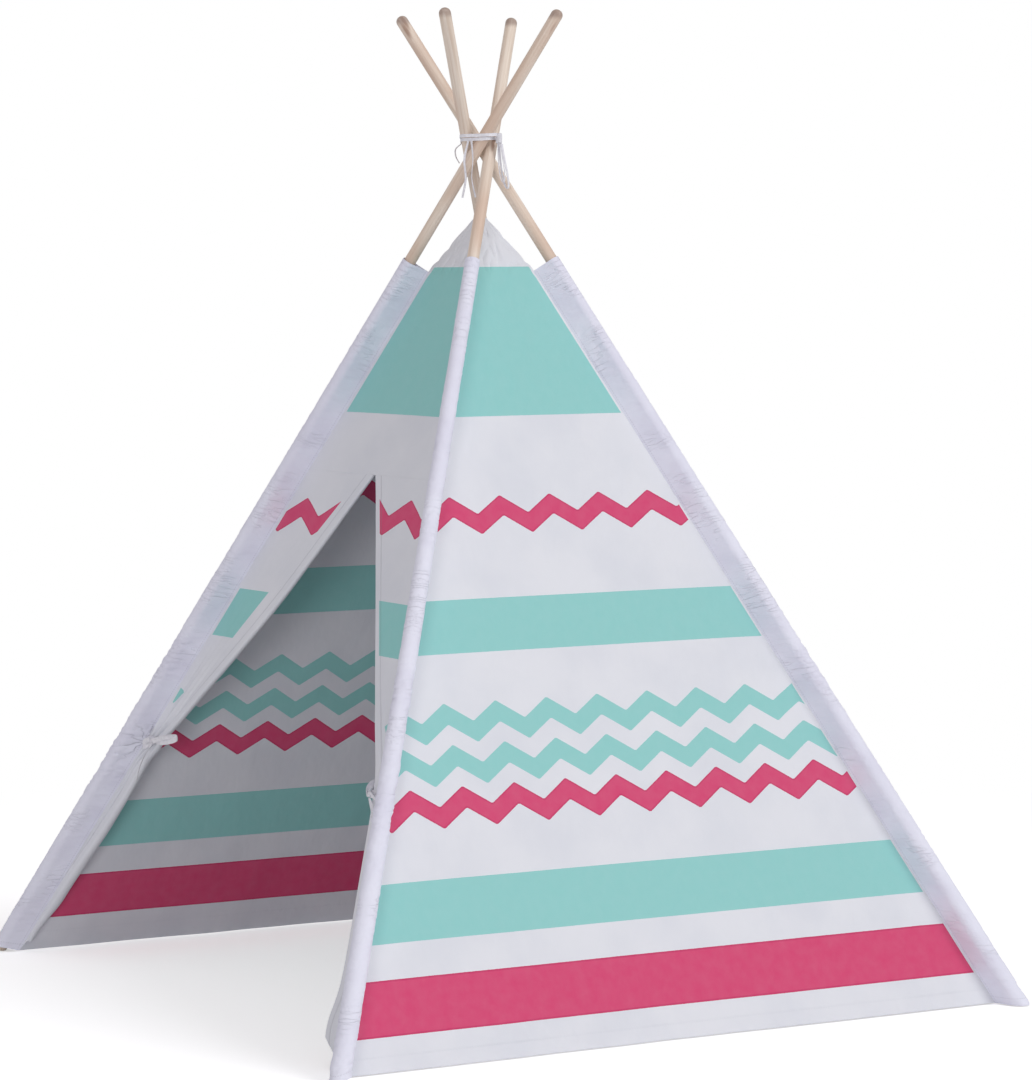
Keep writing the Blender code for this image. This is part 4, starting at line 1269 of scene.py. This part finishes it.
core = wrap_route(CORD_DIAMETER / 2 + GAP + LASHING_SLACK, 30)
wound = wrap_route(LASHING_TAPE_THICKNESS / 2 + GAP + LASHING_SLACK, TURN_POINTS)
lashing_tape("lashing_wrap", wound, [UP] * len(wound), LASHING_TAPE_WIDTH)
knot_axes = Matrix((knot_out, knot_round, UP)).transposed()
lashing_knot = knot("lashing_knot_tape", knot_centre, knot_axes, LASHING_KNOT)
dress(lashing_knot, TAPE, "lashing_knot", "crown")
for label, side in (("a", -1), ("b", 1)):
    drop = LOOP_DROP + side * LOOP_NECK
    route = []
    for step in range(73):
        share = step / 72
        swing = sin(pi * share)
        half = LOOP_NECK / 2 + (LOOP_WIDTH - LOOP_NECK) / 2 * swing
        out = LOOP_START + LOOP_LEAN * swing - half * cos(pi * share)
        splay = side * (LOOP_SPACING / 2 + LOOP_SPLAY * swing)
        up = -LASHING_KNOT[2] / 2 - GAP - drop * swing**LOOP_CURVE
        route.append(by_knot(out, splay, up))
    wide = [knot_round + knot_out * 0.3 * side] * len(route)
    lashing_tape(f"lashing_loop_{label}", route, wide, LOOP_TAPE_WIDTH)


def under_wrap(bearing):
    """The place just under the tape's first turn at a bearing, with the directions out and along."""
    out = towards(bearing)
    for start, end in zip(core, core[1:]):
        before = out.cross(start).z
        after = out.cross(end).z
        if before < 0 <= after and out.dot(start) > 0:
            place = start.lerp(end, before / (before - after))
            return place - UP * (CORD_DIAMETER / 2 + GAP), out, (end - start).normalized()
    raise ValueError("the tape's first turn doesn't reach this bearing")


def hanging_end(name, hold, drop, asides, spacing, twist):
    """A free end of the tape: it hangs from a hold, with a place aside at each third of its drop."""
    top, out, along = hold
    points = [top, top - UP * CORD_DIAMETER]
    points += [top + aside - UP * drop * third / 3 for third, aside in enumerate(asides, 1)]
    route = smooth_route(points, spacing)
    turns = [twist * sin(3 * step / len(route)) for step in range(len(route))]
    wide = [along * cos(turn) + out * sin(turn) for turn in turns]
    piece = lashing_tape(name, route, wide, CORD_DIAMETER)


start, out, along = under_wrap(front_right.bearing + STRAND_TURN)
for label, side in (("a", -1), ("b", 1)):
    hold = (start + along * side * STRAND_SPACING / 2, out, along)
    sway = along * side * STRAND_SWAY
    lean = out * STRAND_LEAN
    asides = (sway + lean, sway / 2 + lean, sway * 2 + lean)
    hanging_end(f"lashing_strand_{label}", hold, STRAND_DROP, asides, CORD_DIAMETER / 2, side * STRAND_TWIST)

hold = under_wrap(front_left.bearing + TAIL_TURN)
swing = hold[1] * TAIL_SWING
hanging_end("lashing_tail", hold, TAIL_DROP, (swing, swing, swing / 3), CORD_DIAMETER / 3, 0)


# The floor and the room behind are one plain white sweep, which keeps the teepee's soft shadow.
# Far from the teepee it fades to the white of the room.
FLOOR_SIZE = 24.0
FLOOR_FADE = (0.9, 2.4)
FLOOR_BOUNCE = 0.02
FLOOR_GLOW = 0.48
FLOOR_WHITE = (0.86, 0.86, 0.87, 1)

deselect_all()
bpy.ops.mesh.primitive_plane_add(size=FLOOR_SIZE)
floor = bpy.context.object
floor.name = "floor"
sweep = material("floor_white")
from_middle = sweep.node("VectorMath", {0: sweep.place()}, "Value", operation="LENGTH")
lit = sweep.node("BsdfDiffuse", {"Color": FLOOR_WHITE})
near = sweep.node("AddShader", {0: lit, 1: sweep.emission(FLOOR_GLOW)})
bounced = sweep.node("AddShader", {0: lit, 1: sweep.emission(FLOOR_BOUNCE)})
fade = {0: from_middle.soft(*FLOOR_FADE), 1: near, 2: sweep.emission(1.0)}
faded = sweep.node("MixShader", fade)
shown_floor = sweep.node("MixShader", {0: sweep.ray("Camera"), 1: bounced, 2: faded})
sweep.node("OutputMaterial", {"Surface": shown_floor})
set_material(floor, sweep.owner)
